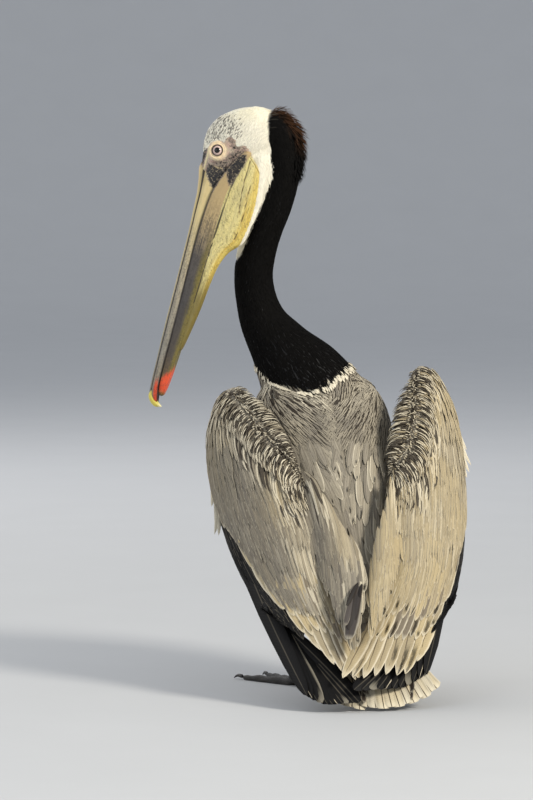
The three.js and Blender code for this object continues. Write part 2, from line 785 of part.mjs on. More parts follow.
function shank(side, grow = 0) {
  const [kx, ky, kz] = LEG.heel;
  const [ax, ay, az] = LEG.ankle;
  const stations = [
    [side * kx, ky, kz + 8, 6, 8, 7],
    [side * kx, ky, kz, 7, 10, 8],
    [side * lerp(kx, ax, 0.3), lerp(ky, ay, 0.3), lerp(kz, az, 0.3), 5, 7, 6.5],
    [side * lerp(kx, ax, 0.75), lerp(ky, ay, 0.75), lerp(kz, az, 0.75), 5, 7, 6.5],
    [side * ax, ay, az, 8, 9, 9],
    [side * ax, ay, az - 8, 8, 9, 9],
  ];
  return solid(loft({ stations, backAt: () => vec(0, 1, 0), sides: 8, rows: 8, grow, cap: 0.1 }));
}

// Direction that a toe points in, on the floor.
function toeHeading(name, degrees) {
  const angle = radians(FOOT_TURN[name] + degrees);
  return vec(SIDES[name] * Math.sin(angle), -Math.cos(angle), 0);
}
const footCentre = (name) => vec(SIDES[name] * LEG.ankle[0], LEG.ankle[1], 0);
const toeTip = (name, [degrees, length]) =>
  footCentre(name).addScaledVector(toeHeading(name, degrees), length);

function toe(name, data, grow = 0) {
  const [degrees, length] = data;
  const heading = toeHeading(name, degrees);
  const thick = 5.5;
  const stations = [0, 0.35, 0.72, 0.97].map((share) => {
    const point = footCentre(name).addScaledVector(heading, length * share);
    const radius = lerp(thick + 1, thick - 1.6, share);
    return [point.x, point.y, radius * 0.72, radius, radius, radius];
  });
  return solid(loft({ stations, backAt: () => UP, sides: 8, rows: 5, grow, cap: 0.1, pull: 0.4 }));
}

// Web of skin between neighbouring toes, with its free edges drawn in.
function web(name) {
  const order = [TOES[3], TOES[0], TOES[1], TOES[2]];
  const tips = order.map((data) => toeTip(name, [data[0], data[1] * 0.93]));
  const centre = footCentre(name);
  const shape = new THREE.Shape();
  shape.moveTo(centre.x, centre.y);
  shape.lineTo(tips[0].x, tips[0].y);
  for (let i = 1; i < tips.length; i++) {
    const edge = tips[i - 1].clone().lerp(tips[i], 0.5).lerp(centre, 0.24);
    shape.quadraticCurveTo(edge.x, edge.y, tips[i].x, tips[i].y);
  }
  shape.closePath();
  return solid(
    new THREE.ExtrudeGeometry(shape, { depth: WEB_THICKNESS, bevelEnabled: false, curveSegments: 4 }),
  );
}

function claw(name, [degrees, length]) {
  const heading = toeHeading(name, degrees);
  const centre = footCentre(name);
  const along = (share, up) => centre.clone().addScaledVector(heading, length + share).setZ(up);
  const line = new THREE.QuadraticBezierCurve3(
    along(-3, 3.6),
    along(CLAW_LENGTH * 0.55, 5.4),
    along(CLAW_LENGTH, 0.9),
  );
  const rows = 5;
  return solid(
    shell(6, rows, (i, row) => {
      const share = row / rows;
      const at = line.getPoint(share);
      if (row === 0 || row === rows) return at;
      const radius = lerp(2.6, 0.7, share);
      const angle = (2 * Math.PI * i) / 6;
      const side = UP.clone().cross(heading);
      return at
        .addScaledVector(side, Math.cos(angle) * radius)
        .addScaledVector(UP, Math.sin(angle) * radius);
    }),
  );
}

// ---- assembly ----
const pelican = new THREE.Group();
const add = (...meshes) => pelican.add(...meshes);
const underFloor = slab(-SLAB_SIZE, FLOOR_LEVEL);

const neckWhole = neckBody();
const torso = torsoBody();
const eyes = Object.fromEntries(Object.entries(SIDES).map(([name, side]) => [name, eyeBall(side)]));

const headSolid = joined(skull(), lids(1), lids(-1))
  .subtract(upperBillBody(GAP))
  .subtract(eyeBall(1, GAP))
  .subtract(eyeBall(-1, GAP));
const upperBill = joined(upperBillBody(), nail())
  .subtract(joined(eyeBall(1, GAP), eyeBall(-1, GAP)))
  .subtract(joined(nostril(1), nostril(-1)));
add(node("bill_upper", upperBill, COLOURS.billHorn, 0.45));
const lowerBill = lowerBillBody().subtract(upperBillBody(GAP)).subtract(nail(GAP));
add(node("bill_lower", lowerBill, COLOURS.billHorn, 0.45));
const head = headSolid.subtract(lowerBillBody(GAP));
add(node("head", head, COLOURS.whiteFeather));
for (const name of Object.keys(SIDES)) add(node("eye_" + name, eyes[name], COLOURS.eye, 0.1));

const neckOnly = neckWhole.subtract(skull(GAP)).subtract(lowerBillBody(GAP));
const pouch = pouchBody()
  .subtract(lowerBillBody(GAP))
  .subtract(upperBillBody(GAP))
  .subtract(skull(GAP))
  .subtract(neckBody(GAP));
add(node("pouch", pouch, COLOURS.pouchSkin, 0.6));

const [cutLow, cutHigh] = NECK_CUTS;
const neckLower = neckOnly.intersect(slab(0, cutLow - GAP / 2));
const neckMiddle = neckOnly.intersect(slab(cutLow + GAP / 2, cutHigh - GAP / 2));
const neckTop = neckOnly.intersect(slab(cutHigh + GAP / 2, SLAB_SIZE));
const neckUpper = joined(neckTop, crest()).subtract(skull(GAP));
add(node("neck_lower", neckLower, COLOURS.darkFeather));
add(node("neck_middle", neckMiddle, COLOURS.darkFeather));
add(node("neck_upper", neckUpper, COLOURS.darkFeather));

const wingWhole = (name, grow = 0) => joined(wingCore(name, grow), wingFeathers(name, grow));
const tailWhole = (grow = 0) => joined(tailRump(grow), tailFeathers(grow), tailCoverts(grow));
const tail = tailWhole().subtract(torsoBody(GAP)).subtract(underFloor);
add(node("tail", tail, COLOURS.silverFeather));
const rightWing = wingWhole("right").subtract(torsoBody(GAP)).subtract(tailWhole(GAP));
const leftWing = wingWhole("left")
  .subtract(torsoBody(GAP))
  .subtract(tailWhole(GAP))
  .subtract(wingWhole("right", GAP));
add(node("wing_right", rightWing, COLOURS.silverFeather));
add(node("wing_left", leftWing, COLOURS.silverFeather));
const backFeathers = joined(scapulars()).subtract(wingWhole("left", GAP)).subtract(wingWhole("right", GAP));
add(node("torso", joined(torso, backFeathers).subtract(neckBody(GAP)), COLOURS.silverFeather));

for (const [name, side] of Object.entries(SIDES)) {
  const thighSolid = thigh(side).subtract(torsoBody(GAP));
  const shankSolid = shank(side).subtract(thigh(side, GAP));
  const footBody = joined(
    web(name),
    TOES.map((data) => toe(name, data)),
  );
  const foot = footBody.subtract(shank(side, GAP)).subtract(underFloor);
  add(node("thigh_" + name, thighSolid, COLOURS.darkFeather));
  add(node("shank_" + name, shankSolid, COLOURS.legSkin, 0.6));
  add(node("foot_" + name, foot, COLOURS.legSkin, 0.6));
  TOES.forEach((data, i) => {
    const made = claw(name, data).subtract(toe(name, data, GAP)).subtract(web(name)).subtract(underFloor);
    add(node("claw_" + name + "_" + (i + 1), made, COLOURS.claw, 0.4));
  });
}

// Centre the whole bird over the origin, with its soles on the plane z = 0.
const whole = new THREE.Box3().setFromObject(pelican, true);
const middle = whole.getCenter(vec(0, 0, 0));
pelican.position.set(-middle.x, -middle.y, 0);

export default pelican;
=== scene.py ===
"""Adult brown pelican, standing with folded wings: skin, feathers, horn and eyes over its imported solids."""

import logging
import math
from dataclasses import dataclass, field
from enum import Enum
from typing import Callable, Iterable, Sequence

import bmesh
import bpy
import numpy as np
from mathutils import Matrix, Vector, noise
from mathutils.bvhtree import BVHTree


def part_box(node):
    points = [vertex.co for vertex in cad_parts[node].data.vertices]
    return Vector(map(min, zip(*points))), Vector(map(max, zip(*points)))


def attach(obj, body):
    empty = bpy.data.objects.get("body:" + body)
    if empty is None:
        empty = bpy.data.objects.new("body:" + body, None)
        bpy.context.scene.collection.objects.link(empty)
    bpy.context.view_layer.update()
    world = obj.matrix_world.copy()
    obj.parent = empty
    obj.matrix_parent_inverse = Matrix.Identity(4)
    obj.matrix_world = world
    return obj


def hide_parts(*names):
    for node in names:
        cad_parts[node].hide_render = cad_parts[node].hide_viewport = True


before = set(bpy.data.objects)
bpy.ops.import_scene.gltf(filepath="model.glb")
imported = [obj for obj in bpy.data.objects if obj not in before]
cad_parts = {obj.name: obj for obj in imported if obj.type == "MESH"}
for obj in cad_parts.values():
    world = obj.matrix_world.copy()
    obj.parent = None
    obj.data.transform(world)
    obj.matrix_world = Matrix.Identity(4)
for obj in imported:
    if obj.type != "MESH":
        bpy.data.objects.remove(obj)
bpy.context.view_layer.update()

log = logging.getLogger("pelican")

Array = np.ndarray
Rows = tuple[tuple[float, ...], ...]
Colour = tuple[float, float, float]
Material = bpy.types.Material

MM = 0.001  # metres in a millimetre; shapes are worked out in millimetres
BODY = "root"  # the one body that every piece rides on
SEED = 20  # seed of every random choice
VANE_MAP = "Vane"  # UV map across and along each feather
BAKE_MAP = "OFBake"  # UV map of each feather's patch on an unwrap of the skin
PATCH = 0.003  # size of a patch on that map
TONE = "plumage"  # colour attribute of skin and feathers
MARK = "mark"  # attribute of a feather's dark edge, pale edge, shaft and chance
TINY = 1e-9  # keeps divisions off zero
TURN = 2 * math.pi  # a full turn, in radians
BLOCK = 4000  # points that are compared at a time
STATIONS = 240  # places along a body at which points are compared with it
HEAD_PLACE = "head_place"  # attribute: ahead, up and left in the head's frame, in decimetres


# ---- directions and curves ----
def unit(vectors: Array) -> Array:
    """Vectors scaled to a length of one."""
    return vectors / np.maximum(np.linalg.norm(vectors, axis=-1, keepdims=True), TINY)


def turned(vector: Array, axis: Array, degrees: float | Array) -> Array:
    """Turns vectors about a unit axis.

    Args:
        vector: Vectors to turn.
        axis: Unit axis or axes.
        degrees: Angle, or one angle a vector.

    Returns:
        The turned vectors.
    """
    angle = np.radians(np.asarray(degrees, float))[..., None]
    along = np.sum(axis * vector, axis=-1, keepdims=True) * axis
    return along + (vector - along) * np.cos(angle) + np.cross(axis, vector) * np.sin(angle)


def flat_to(vector: Array, normal: Array) -> Array:
    """Part of vectors that is square to a normal, as unit vectors."""
    return unit(vector - np.sum(vector * normal, axis=-1, keepdims=True) * normal)


def step(value: Array, low: float, high: float) -> Array:
    """Smooth step from 0 at low to 1 at high."""
    share = np.clip((value - low) / (high - low), 0.0, 1.0)
    return share * share * (3.0 - 2.0 * share)


def mixed(a: Array | Colour, b: Array | Colour, share: Array) -> Array:
    """Colours or vectors blended by a share for each row."""
    return np.asarray(a) + (np.asarray(b) - np.asarray(a)) * np.asarray(share)[:, None]


def table(*columns: Array | float) -> Array:
    """Rows of numbers from their columns, each an array or one number for all rows."""
    return np.stack(np.broadcast_arrays(*columns), axis=1)


def rounding(share: Array, cap: float) -> Array:
    """Size of a body's sections where its ends are rounded over a share of its length."""
    end = np.minimum(1.0, np.minimum(share, 1 - share) / cap)
    return np.sqrt(np.maximum(0.0, 1 - (1 - end) ** 2))


def run_length(points: Array) -> float:
    """Length of the line through points."""
    return float(np.linalg.norm(np.diff(points, axis=0), axis=1).sum())


def cloud(points: Array, size: float, seed: float = 0.0) -> Array:
    """Smooth noise from about -1 to 1 at points, with blotches of a given size."""
    moved = np.asarray(points) / size + seed * 7.31
    return np.array([noise.noise(Vector(p)) for p in moved]) * 1.6


def spline(rows: Array, shares: Array) -> tuple[Array, Array]:
    """Reads a smooth curve through rows of three numbers.

    Args:
        rows: Rows that the curve passes through.
        shares: Shares of the way, from 0 at the first row to 1 at the last.

    Returns:
        The points, and the unit directions that the curve runs in there.
    """
    rows = np.asarray(rows, float)
    ends = (2 * rows[0] - rows[1], 2 * rows[-1] - rows[-2])
    full = np.vstack([ends[0], rows, ends[1]])
    place = np.clip(np.asarray(shares, float), 0.0, 1.0) * (len(rows) - 1)
    index = np.minimum(place.astype(int), len(rows) - 2)
    t = (place - index)[:, None]
    p = [full[index + i] for i in range(4)]
    gap = [np.sum((p[i + 1] - p[i]) ** 2, axis=1, keepdims=True) ** 0.25 for i in range(3)]
    gap[1] = np.where(gap[1] < 1e-4, 1.0, gap[1])
    gap[0] = np.where(gap[0] < 1e-4, gap[1], gap[0])
    gap[2] = np.where(gap[2] < 1e-4, gap[1], gap[2])
    first = (p[1] - p[0]) / gap[0] - (p[2] - p[0]) / (gap[0] + gap[1]) + (p[2] - p[1]) / gap[1]
    last = (p[2] - p[1]) / gap[1] - (p[3] - p[1]) / (gap[1] + gap[2]) + (p[3] - p[2]) / gap[2]
    first, last = first * gap[1], last * gap[1]
    square = -3 * p[1] + 3 * p[2] - 2 * first - last
    cube = 2 * p[1] - 2 * p[2] + first + last
    points = p[1] + first * t + square * t**2 + cube * t**3
    return points, unit(first + 2 * square * t + 3 * cube * t**2)


UP = np.array([0.0, 0.0, 1.0])
NECK_TURN = math.radians(14)  # between the plane that the neck bends in and the bird's own lateral plane
LEFT = np.array([math.cos(NECK_TURN), -math.sin(NECK_TURN), 0.0])
BACK = np.array([math.sin(NECK_TURN), math.cos(NECK_TURN), 0.0])
HEAD_AT = 167 * LEFT - 125 * BACK + 700 * UP
BILL_DROOP = math.radians(71)
AHEAD = unit(math.cos(BILL_DROOP) * LEFT - math.sin(BILL_DROOP) * UP + math.tan(math.radians(5)) * BACK)
HEAD_LEFT = turned(flat_to(BACK, AHEAD), AHEAD, 8.0)
CROWN = np.cross(AHEAD, HEAD_LEFT)
HEAD_AXES = np.stack([AHEAD, CROWN, HEAD_LEFT])
EYE_OUT = 17.2  # distance of each eyeball's centre from the middle of the skull
EYE_RADIUS = 9.0


def from_head(places: Array) -> Array:
    """Points from places ahead, up and left in the head's frame."""
    return HEAD_AT + np.asarray(places, float) @ HEAD_AXES


def to_head(points: Array) -> Array:
    """Places ahead, up and left in the head's frame of points."""
    return (np.asarray(points) - HEAD_AT) @ HEAD_AXES.T


def find_shift() -> Array:
    """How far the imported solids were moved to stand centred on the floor, in millimetres."""
    low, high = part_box("eye_left")
    middle = (np.array(low) + np.array(high)) / (2 * MM)
    shift = from_head(np.array([0.0, 0.0, EYE_OUT])) - middle
    return np.array([shift[0], shift[1], 0.0])


SHIFT = find_shift()


def row_frame(points: Array) -> Array:
    """Design points in millimetres as points of the frame, in metres."""
    return (np.asarray(points, float) - SHIFT) * MM


class Side(Enum):
    """The bird's two sides, with the sign of x on each."""

    LEFT = 1
    RIGHT = -1

    @property
    def word(self) -> str:
        """Name of the side as node names have it."""
        return self.name.lower()


# ---- swept bodies ----
def place(verts: Sequence, points: Array) -> None:
    """Moves vertices to points."""
    for vert, point in zip(verts, points):
        vert.co = point


def places_of(verts: Sequence) -> Array:
    """Points that vertices stand at."""
    return np.array([v.co for v in verts])


def smooth(bm: bmesh.types.BMesh, times: int, factor: float) -> None:
    """Smooths a mesh a number of times."""
    for _ in range(times):
        axes = {"use_axis_x": True, "use_axis_y": True, "use_axis_z": True}
        bmesh.ops.smooth_vert(bm, verts=bm.verts, factor=factor, **axes)


def ball(bm: bmesh.types.BMesh, sides: int, rows: int) -> tuple[list, Array, Array]:
    """Adds a closed ball of rings, whose vertices a caller then moves.

    Args:
        bm: Mesh to add it to.
        sides: Vertices in a ring.
        rows: Bands between its two poles.

    Returns:
        The new vertices, their shares of the way round, and their shares of the way from pole to pole.
    """
    verts = bmesh.ops.create_uvsphere(bm, u_segments=sides, v_segments=rows, radius=1.0)["verts"]
    co = places_of(verts)
    row = np.rint(np.arccos(np.clip(co[:, 2], -1, 1)) / math.pi * rows) / rows
    turn = np.rint(np.arctan2(co[:, 1], co[:, 0]) / TURN * sides) / sides % 1.0
    return verts, turn, row


@dataclass(frozen=True)
class Loft:
    """Body swept along stations of x, y, z and the across, back and front semi-axes of an oval.

    Attributes:
        stations: Rows of six numbers.
        back_at: Gives the direction that the back side faces, for shares along the body.
        cap: Share of the length over which each end is rounded.
    """

    stations: Array
    back_at: Callable[[Array], Array]
    cap: float = 0.08

    def frame(self, shares: Array) -> tuple[Array, Array, Array, Array, Array]:
        """Centres, directions along, across and to the back, and semi-axes, at shares."""
        centre, along = spline(self.stations[:, :3], shares)
        back = flat_to(self.back_at(shares), along)
        size, _ = spline(self.stations[:, 3:], shares)
        return centre, along, np.cross(along, back), back, size

    def on(self, shares: Array, degrees: Array, out: float | Array = 0.0) -> tuple[Array, Array, Array]:
        """Points on the surface.

        Args:
            shares: Shares along the body.
            degrees: Degrees round it from its back side.
            out: Height over the surface.

        Returns:
            Points, normals, and directions along the body.
        """
        shares, degrees = np.broadcast_arrays(np.asarray(shares, float), np.asarray(degrees, float))
        centre, along, across, back, size = self.frame(shares)
        s, c = np.sin(np.radians(degrees))[:, None], np.cos(np.radians(degrees))[:, None]
        depth = np.where(c > 0, size[:, 1:2], size[:, 2:3])
        normal = unit(across * s / size[:, :1] + back * c / depth)
        out = np.broadcast_to(np.asarray(out, float), shares.shape)[:, None]
        return centre + across * s * size[:, :1] + back * c * depth + normal * out, normal, along

    def find(self, points: Array) -> tuple[Array, Array, Array]:
        """Nearest share, degrees from the back side, and height over the surface as a share of its size."""
        shares = np.linspace(0, 1, STATIONS)
        centre, _, across, back, size = self.frame(shares)
        mean = size.mean(axis=1)
        chosen = np.empty(len(points), int)
        for start in range(0, len(points), BLOCK):
            block = slice(start, start + BLOCK)
            far = np.linalg.norm(points[block, None] - centre[None], axis=2) / mean[None]
            chosen[block] = far.argmin(axis=1)
        offset = points - centre[chosen]
        x = np.sum(offset * across[chosen], axis=1) / size[chosen, 0]
        y = np.sum(offset * back[chosen], axis=1)
        y = y / np.where(y > 0, size[chosen, 1], size[chosen, 2])
        return shares[chosen], np.degrees(np.arctan2(x, y)), np.hypot(x, y) - 1.0

    def shell(self, bm: bmesh.types.BMesh, sides: int, rows: int, grow: float = 0.0) -> list:
        """Adds the closed body to a mesh and returns its vertices."""
        verts, turn, share = ball(bm, sides, rows)
        centre, along, across, back, size = self.frame(share)
        swell = rounding(share, self.cap)[:, None]
        pole = (share == 0) | (share == 1)
        s, c = np.sin(turn * TURN)[:, None], np.cos(turn * TURN)[:, None]
        depth = np.where(c > 0, size[:, 1:2], size[:, 2:3])
        points = centre + across * s * (size[:, :1] * swell + grow) + back * c * (depth * swell + grow)
        tips = centre + along * np.where(share[:, None] == 0, -grow, grow)
        place(verts, np.where(pole[:, None], tips, points))
        return verts

    def length(self) -> float:
        """Length of the line through its middle."""
        points, _ = spline(self.stations[:, :3], np.linspace(0, 1, 200))
        return run_length(points)


@dataclass(frozen=True)
class HeadBody:
    """Body in the head's frame, swept along the bill.

    Attributes:
        rows: Rows of place ahead, top, bottom and half-width.
        outline: Half of a section from its top to its underside, as (side, height) from -1 to 1.
    """

    rows: Rows
    outline: tuple[tuple[float, float], ...] = ()

    def section(self, turn: Array) -> Array:
        """Side and height of the section's outline at shares of the way round it."""
        if not self.outline:
            return table(np.sin(turn * TURN), np.cos(turn * TURN))
        half = list(self.outline)
        ring = half + [(-s, h) for s, h in half[::-1] if s != 0]
        looped = np.array([(s, h, 0.0) for s, h in ring[-2:] + ring + ring[:3]])
        return spline(looped, (turn * len(ring) + 2) / (len(looped) - 1))[0][:, :2]

    def profile(self, share: Array) -> Array:
        """Places ahead, tops, bottoms and half-widths at shares along the body."""
        rows = np.array(self.rows)
        spine, _ = spline(rows[:, :3], share)
        half, _ = spline(table(rows[:, 3], 0.0, 0.0), share)
        return np.array([*spine.T, half[:, 0]])

    def at(self, share: Array, turn: Array, grow: float = 0.0, rounded: float = 0.0) -> Array:
        """Places in the head's frame.

        Args:
            share: Shares of the way along the body.
            turn: Shares of the way round it.
            grow: How much thicker it is made.
            rounded: Share of the length over which its ends are rounded.

        Returns:
            Places ahead, up and left.
        """
        ahead, top, low, half = self.profile(share)
        outline = self.section(turn)
        swell = rounding(share, rounded) if rounded else 1.0
        high = (top + low) / 2 + outline[:, 1] * ((top - low) / 2 + grow) * swell
        return table(ahead, high, outline[:, 0] * (half + grow) * swell)

    def shell(self, bm: bmesh.types.BMesh, sides: int, rows: int, grow: float = 0.0) -> list:
        """Adds the closed body to a mesh and returns its vertices."""
        verts, turn, share = ball(bm, sides, rows)
        places = self.at(share, turn, grow, rounded=0.03)
        pole = (share == 0) | (share == 1)
        top, low = (self.at(share, np.full(len(share), turn), grow)[:, 1] for turn in (0.0, 0.5))
        places[pole] = table(places[pole, 0], (top + low)[pole] / 2, 0.0)
        place(verts, from_head(places))
        return verts


# ---- shader expressions ----
class Value:
    """Output of a shader node; arithmetic on it adds Math nodes."""

    def __init__(self, paint: "Paint", socket: bpy.types.NodeSocket) -> None:
        """Wraps a socket of a material that is being painted."""
        self.paint = paint
        self.socket = socket

    def __add__(self, other: "Value | float") -> "Value":
        """Sum."""
        return self.paint.math("ADD", self, other)

    def __sub__(self, other: "Value | float") -> "Value":
        """Difference."""
        return self.paint.math("SUBTRACT", self, other)

    def __rsub__(self, other: float) -> "Value":
        """Difference from a number."""
        return self.paint.math("SUBTRACT", other, self)

    def __mul__(self, other: "Value | float") -> "Value":
        """Product."""
        return self.paint.math("MULTIPLY", self, other)

    def __truediv__(self, other: "Value | float") -> "Value":
        """Quotient."""
        return self.paint.math("DIVIDE", self, other)

    def __pow__(self, other: float) -> "Value":
        """Power."""
        return self.paint.math("POWER", self, other)

    def __abs__(self) -> "Value":
        """Size without its sign."""
        return self.paint.math("ABSOLUTE", self)

    __radd__ = __add__
    __rmul__ = __mul__


class Paint:
    """Material built from expressions."""

    def __init__(self, name: str) -> None:
        """Starts an empty material.

        Args:
            name: Name of the material.
        """
        self.material = bpy.data.materials.new(name)
        self.material.use_nodes = True
        self.tree = self.material.node_tree
        self.tree.nodes.clear()

    def node(
        self, kind: str, settings: dict | None = None, inputs: dict | None = None, output: int | str = 0
    ) -> Value:
        """Adds any node.

        Args:
            kind: Node type.
            settings: Its settings, with a ramp's stops under "stops".
            inputs: Values or links of its sockets, by name or place.
            output: Output to return.

        Returns:
            The chosen output.
        """
        made = self.tree.nodes.new(kind)
        for key, value in (settings or {}).items():
            if key == "stops":
                self._stops(made.color_ramp, value)
            else:
                setattr(made, key, value)
        for key, value in (inputs or {}).items():
            self._feed(made.inputs[key], value)
        return Value(self, made.outputs[output])

    def _stops(self, ramp: bpy.types.ColorRamp, stops: Sequence[tuple[float, Colour]]) -> None:
        """Sets a ramp's stops."""
        while len(ramp.elements) < len(stops):
            ramp.elements.new(1.0)
        for element, (position, colour) in zip(ramp.elements, stops):
            element.position = position
            element.color = (*colour, 1.0)

    def _feed(self, socket: bpy.types.NodeSocket, value: object) -> None:
        """Links a value to a socket, or sets it there."""
        if isinstance(value, Value):
            self.tree.links.new(value.socket, socket)
        elif isinstance(value, tuple) and len(value) == 3 and socket.type == "RGBA":
            socket.default_value = (*value, 1.0)
        else:
            socket.default_value = value

    def math(self, operation: str, *values: "Value | float") -> Value:
        """Math node on values."""
        return self.node("ShaderNodeMath", {"operation": operation}, dict(enumerate(values)))

    def mix(self, share: "Value | float", a: "Value | Colour", b: "Value | Colour") -> Value:
        """Colour between a and b."""
        return self.node("ShaderNodeMix", {"data_type": "RGBA"}, {0: share, 6: a, 7: b}, 2)

    def tint(self, colour: "Value | Colour", amount: Value) -> Value:
        """Colour multiplied by a number."""
        grey = self.node("ShaderNodeCombineColor", None, {0: amount, 1: amount, 2: amount})
        settings = {"data_type": "RGBA", "blend_type": "MULTIPLY"}
        return self.node("ShaderNodeMix", settings, {0: 1.0, 6: colour, 7: grey}, 2)

    def step(self, value: Value, low: float, high: float) -> Value:
        """Smooth step from 0 at low to 1 at high."""
        inputs = {"Value": value, "From Min": min(low, high), "From Max": max(low, high)}
        made = self.node("ShaderNodeMapRange", {"interpolation_type": "SMOOTHSTEP"}, inputs)
        return 1.0 - made if low > high else made

    def attribute(self, name: str, output: str = "Color") -> Value:
        """Attribute of the piece."""
        return self.node("ShaderNodeAttribute", {"attribute_name": name}, None, output)

    def split(self, vector: Value) -> tuple[Value, Value, Value]:
        """Three numbers of a vector."""
        parts = self.node("ShaderNodeSeparateXYZ", None, {0: vector})
        return tuple(Value(self, parts.socket.node.outputs[i]) for i in range(3))

    def joined(self, x: "Value | float", y: "Value | float", z: "Value | float" = 0.0) -> Value:
        """Vector of three numbers."""
        return self.node("ShaderNodeCombineXYZ", None, {0: x, 1: y, 2: z})

    def uv(self, name: str) -> Value:
        """UV map of the piece."""
        return self.node("ShaderNodeUVMap", {"uv_map": name})

    def place(self) -> Value:
        """Object coordinates, in metres."""
        return self.node("ShaderNodeTexCoord", None, None, "Object")

    def noise(
        self, vector: Value, scale: float, detail: float = 3.0, rough: float = 0.55, warp: float = 0.0
    ) -> Value:
        """Cloudy noise from 0 to 1."""
        inputs = {"Vector": vector, "Scale": scale, "Detail": detail, "Roughness": rough, "Distortion": warp}
        return self.node("ShaderNodeTexNoise", None, inputs, "Fac")

    def cells(self, vector: Value, scale: float) -> Value:
        """Distances to the edges in a pattern of cells."""
        inputs = {"Vector": vector, "Scale": scale}
        return self.node("ShaderNodeTexVoronoi", {"feature": "DISTANCE_TO_EDGE"}, inputs, "Distance")

    def ramp(self, value: Value, stops: Sequence[tuple[float, Colour]]) -> Value:
        """Colours along a value."""
        return self.node("ShaderNodeValToRGB", {"stops": stops}, {0: value})

    def bump(self, height: Value, distance: float) -> Value:
        """Normal bent by a height, with its distance in metres."""
        return self.node("ShaderNodeBump", None, {"Height": height, "Distance": distance, "Strength": 1.0})

    def surface(self, inputs: dict) -> Material:
        """Ends the material with a Principled shader.

        Args:
            inputs: Values or links of its sockets.

        Returns:
            The material.
        """
        shader = self.node("ShaderNodeBsdfPrincipled", None, inputs)
        end = self.tree.nodes.new("ShaderNodeOutputMaterial")
        self.tree.links.new(shader.socket, end.inputs["Surface"])
        return self.material


# ---- feathers ----
@dataclass(frozen=True)
class Plume:
    """Shape that a feather is grown from.

    Attributes:
        sides: Edges of its cross-section.
        shares: Places along it of its rings, from root to tip.
        widths: Half-width there, as a share of the widest.
        cup: How far its edges bend down, as a share of its width.
        ragged: How unevenly its edges run.
    """

    sides: int
    shares: tuple[float, ...]
    widths: tuple[float, ...]
    cup: float = 0.1
    ragged: float = 0.0

    def template(self) -> tuple[Array, Array, Array, Array, Array, Array]:
        """Share, half-width, across and height of each vertex, then sizes and corners of its faces."""
        bm = bmesh.new()
        last = len(self.shares) - 1
        _, turn, row = ball(bm, self.sides, last)
        ring = np.rint(row * last).astype(int)
        angle = turn * TURN + (math.pi / 2 if self.sides == 3 else 0.0)
        sizes = np.array([len(f.verts) for f in bm.faces])
        corners = np.array([v.index for f in bm.faces for v in f.verts])
        bm.free()
        inner = (ring > 0) & (ring < last)
        across, high = np.cos(angle) * inner, np.sin(angle) * inner
        across = across / max(1e-6, np.abs(across).max())
        return np.array(self.shares)[ring], np.array(self.widths)[ring], across, high, sizes, corners


TUFT = Plume(3, (0.0, 0.3, 0.72, 1.0), (0.35, 1.0, 0.75, 0.0), 0.05)
LANCE = Plume(4, (0.0, 0.12, 0.42, 0.7, 0.88, 1.0), (0.2, 0.7, 1.0, 0.84, 0.5, 0.0), 0.1, 0.05)
SCALE = Plume(6, (0.0, 0.14, 0.4, 0.66, 0.84, 0.94, 1.0), (0.25, 0.7, 0.96, 1.0, 0.86, 0.56, 0.0), 0.12, 0.05)
BLADE_SHARES = (0.0, 0.05, 0.14, 0.28, 0.42, 0.56, 0.7, 0.82, 0.9, 0.95, 0.985, 1.0)
BLADE_WIDTHS = (0.12, 0.3, 0.62, 0.86, 0.97, 1.0, 0.98, 0.9, 0.76, 0.6, 0.34, 0.0)
BLADE = Plume(8, BLADE_SHARES, BLADE_WIDTHS, 0.1, 0.035)
POINTED_SHARES = (0.0, 0.06, 0.16, 0.34, 0.55, 0.72, 0.84, 0.92, 0.97, 1.0)
POINTED = Plume(6, POINTED_SHARES, (0.12, 0.36, 0.66, 0.9, 1.0, 0.96, 0.78, 0.52, 0.26, 0.0), 0.12, 0.03)
SQUARE_SHARES = (0.0, 0.08, 0.2, 0.4, 0.6, 0.78, 0.9, 0.96, 0.99, 1.0)
SQUARE = Plume(8, SQUARE_SHARES, (0.15, 0.35, 0.6, 0.85, 0.97, 1.0, 0.98, 0.9, 0.66, 0.0), 0.1, 0.07)


BED_COLUMNS = {"rise": 3, "fall": 3, "width": 1, "thick": 1, "tone": 3, "mark": 4, "patch": 2, "twist": 1}


@dataclass
class Bed:
    """Feathers that are to be grown, one row of each array a feather, in millimetres."""

    root: Array
    middle: Array
    tip: Array
    rise: Array
    fall: Array
    width: Array
    thick: Array
    tone: Array
    mark: Array
    patch: Array
    twist: Array

    @staticmethod
    def joined(beds: Iterable["Bed"]) -> "Bed":
        """One bed of several."""
        beds = list(beds)
        return Bed(*(np.concatenate([getattr(b, name) for b in beds]) for name in Bed.__dataclass_fields__))

    def __post_init__(self) -> None:
        """Repeats for every feather what is given once for all of them."""
        for name, wide in BED_COLUMNS.items():
            shape = (len(self.root), wide) if wide > 1 else (len(self.root),)
            setattr(self, name, np.array(np.broadcast_to(getattr(self, name), shape), float))

    def picked(self, chosen: Array) -> "Bed":
        """Only the chosen feathers."""
        return Bed(*(getattr(self, name)[chosen] for name in Bed.__dataclass_fields__))

    def __len__(self) -> int:
        """Number of feathers."""
        return len(self.root)


@dataclass
class Growth:
    """Points and faces of a bed's feathers, with the numbers that their material reads."""

    points: Array
    sizes: Array
    corners: Array
    vane: Array
    bake: Array
    tone: Array
    mark: Array
    rim: Array


THINNING = 0.65  # share of its thickness that a feather loses from root to tip


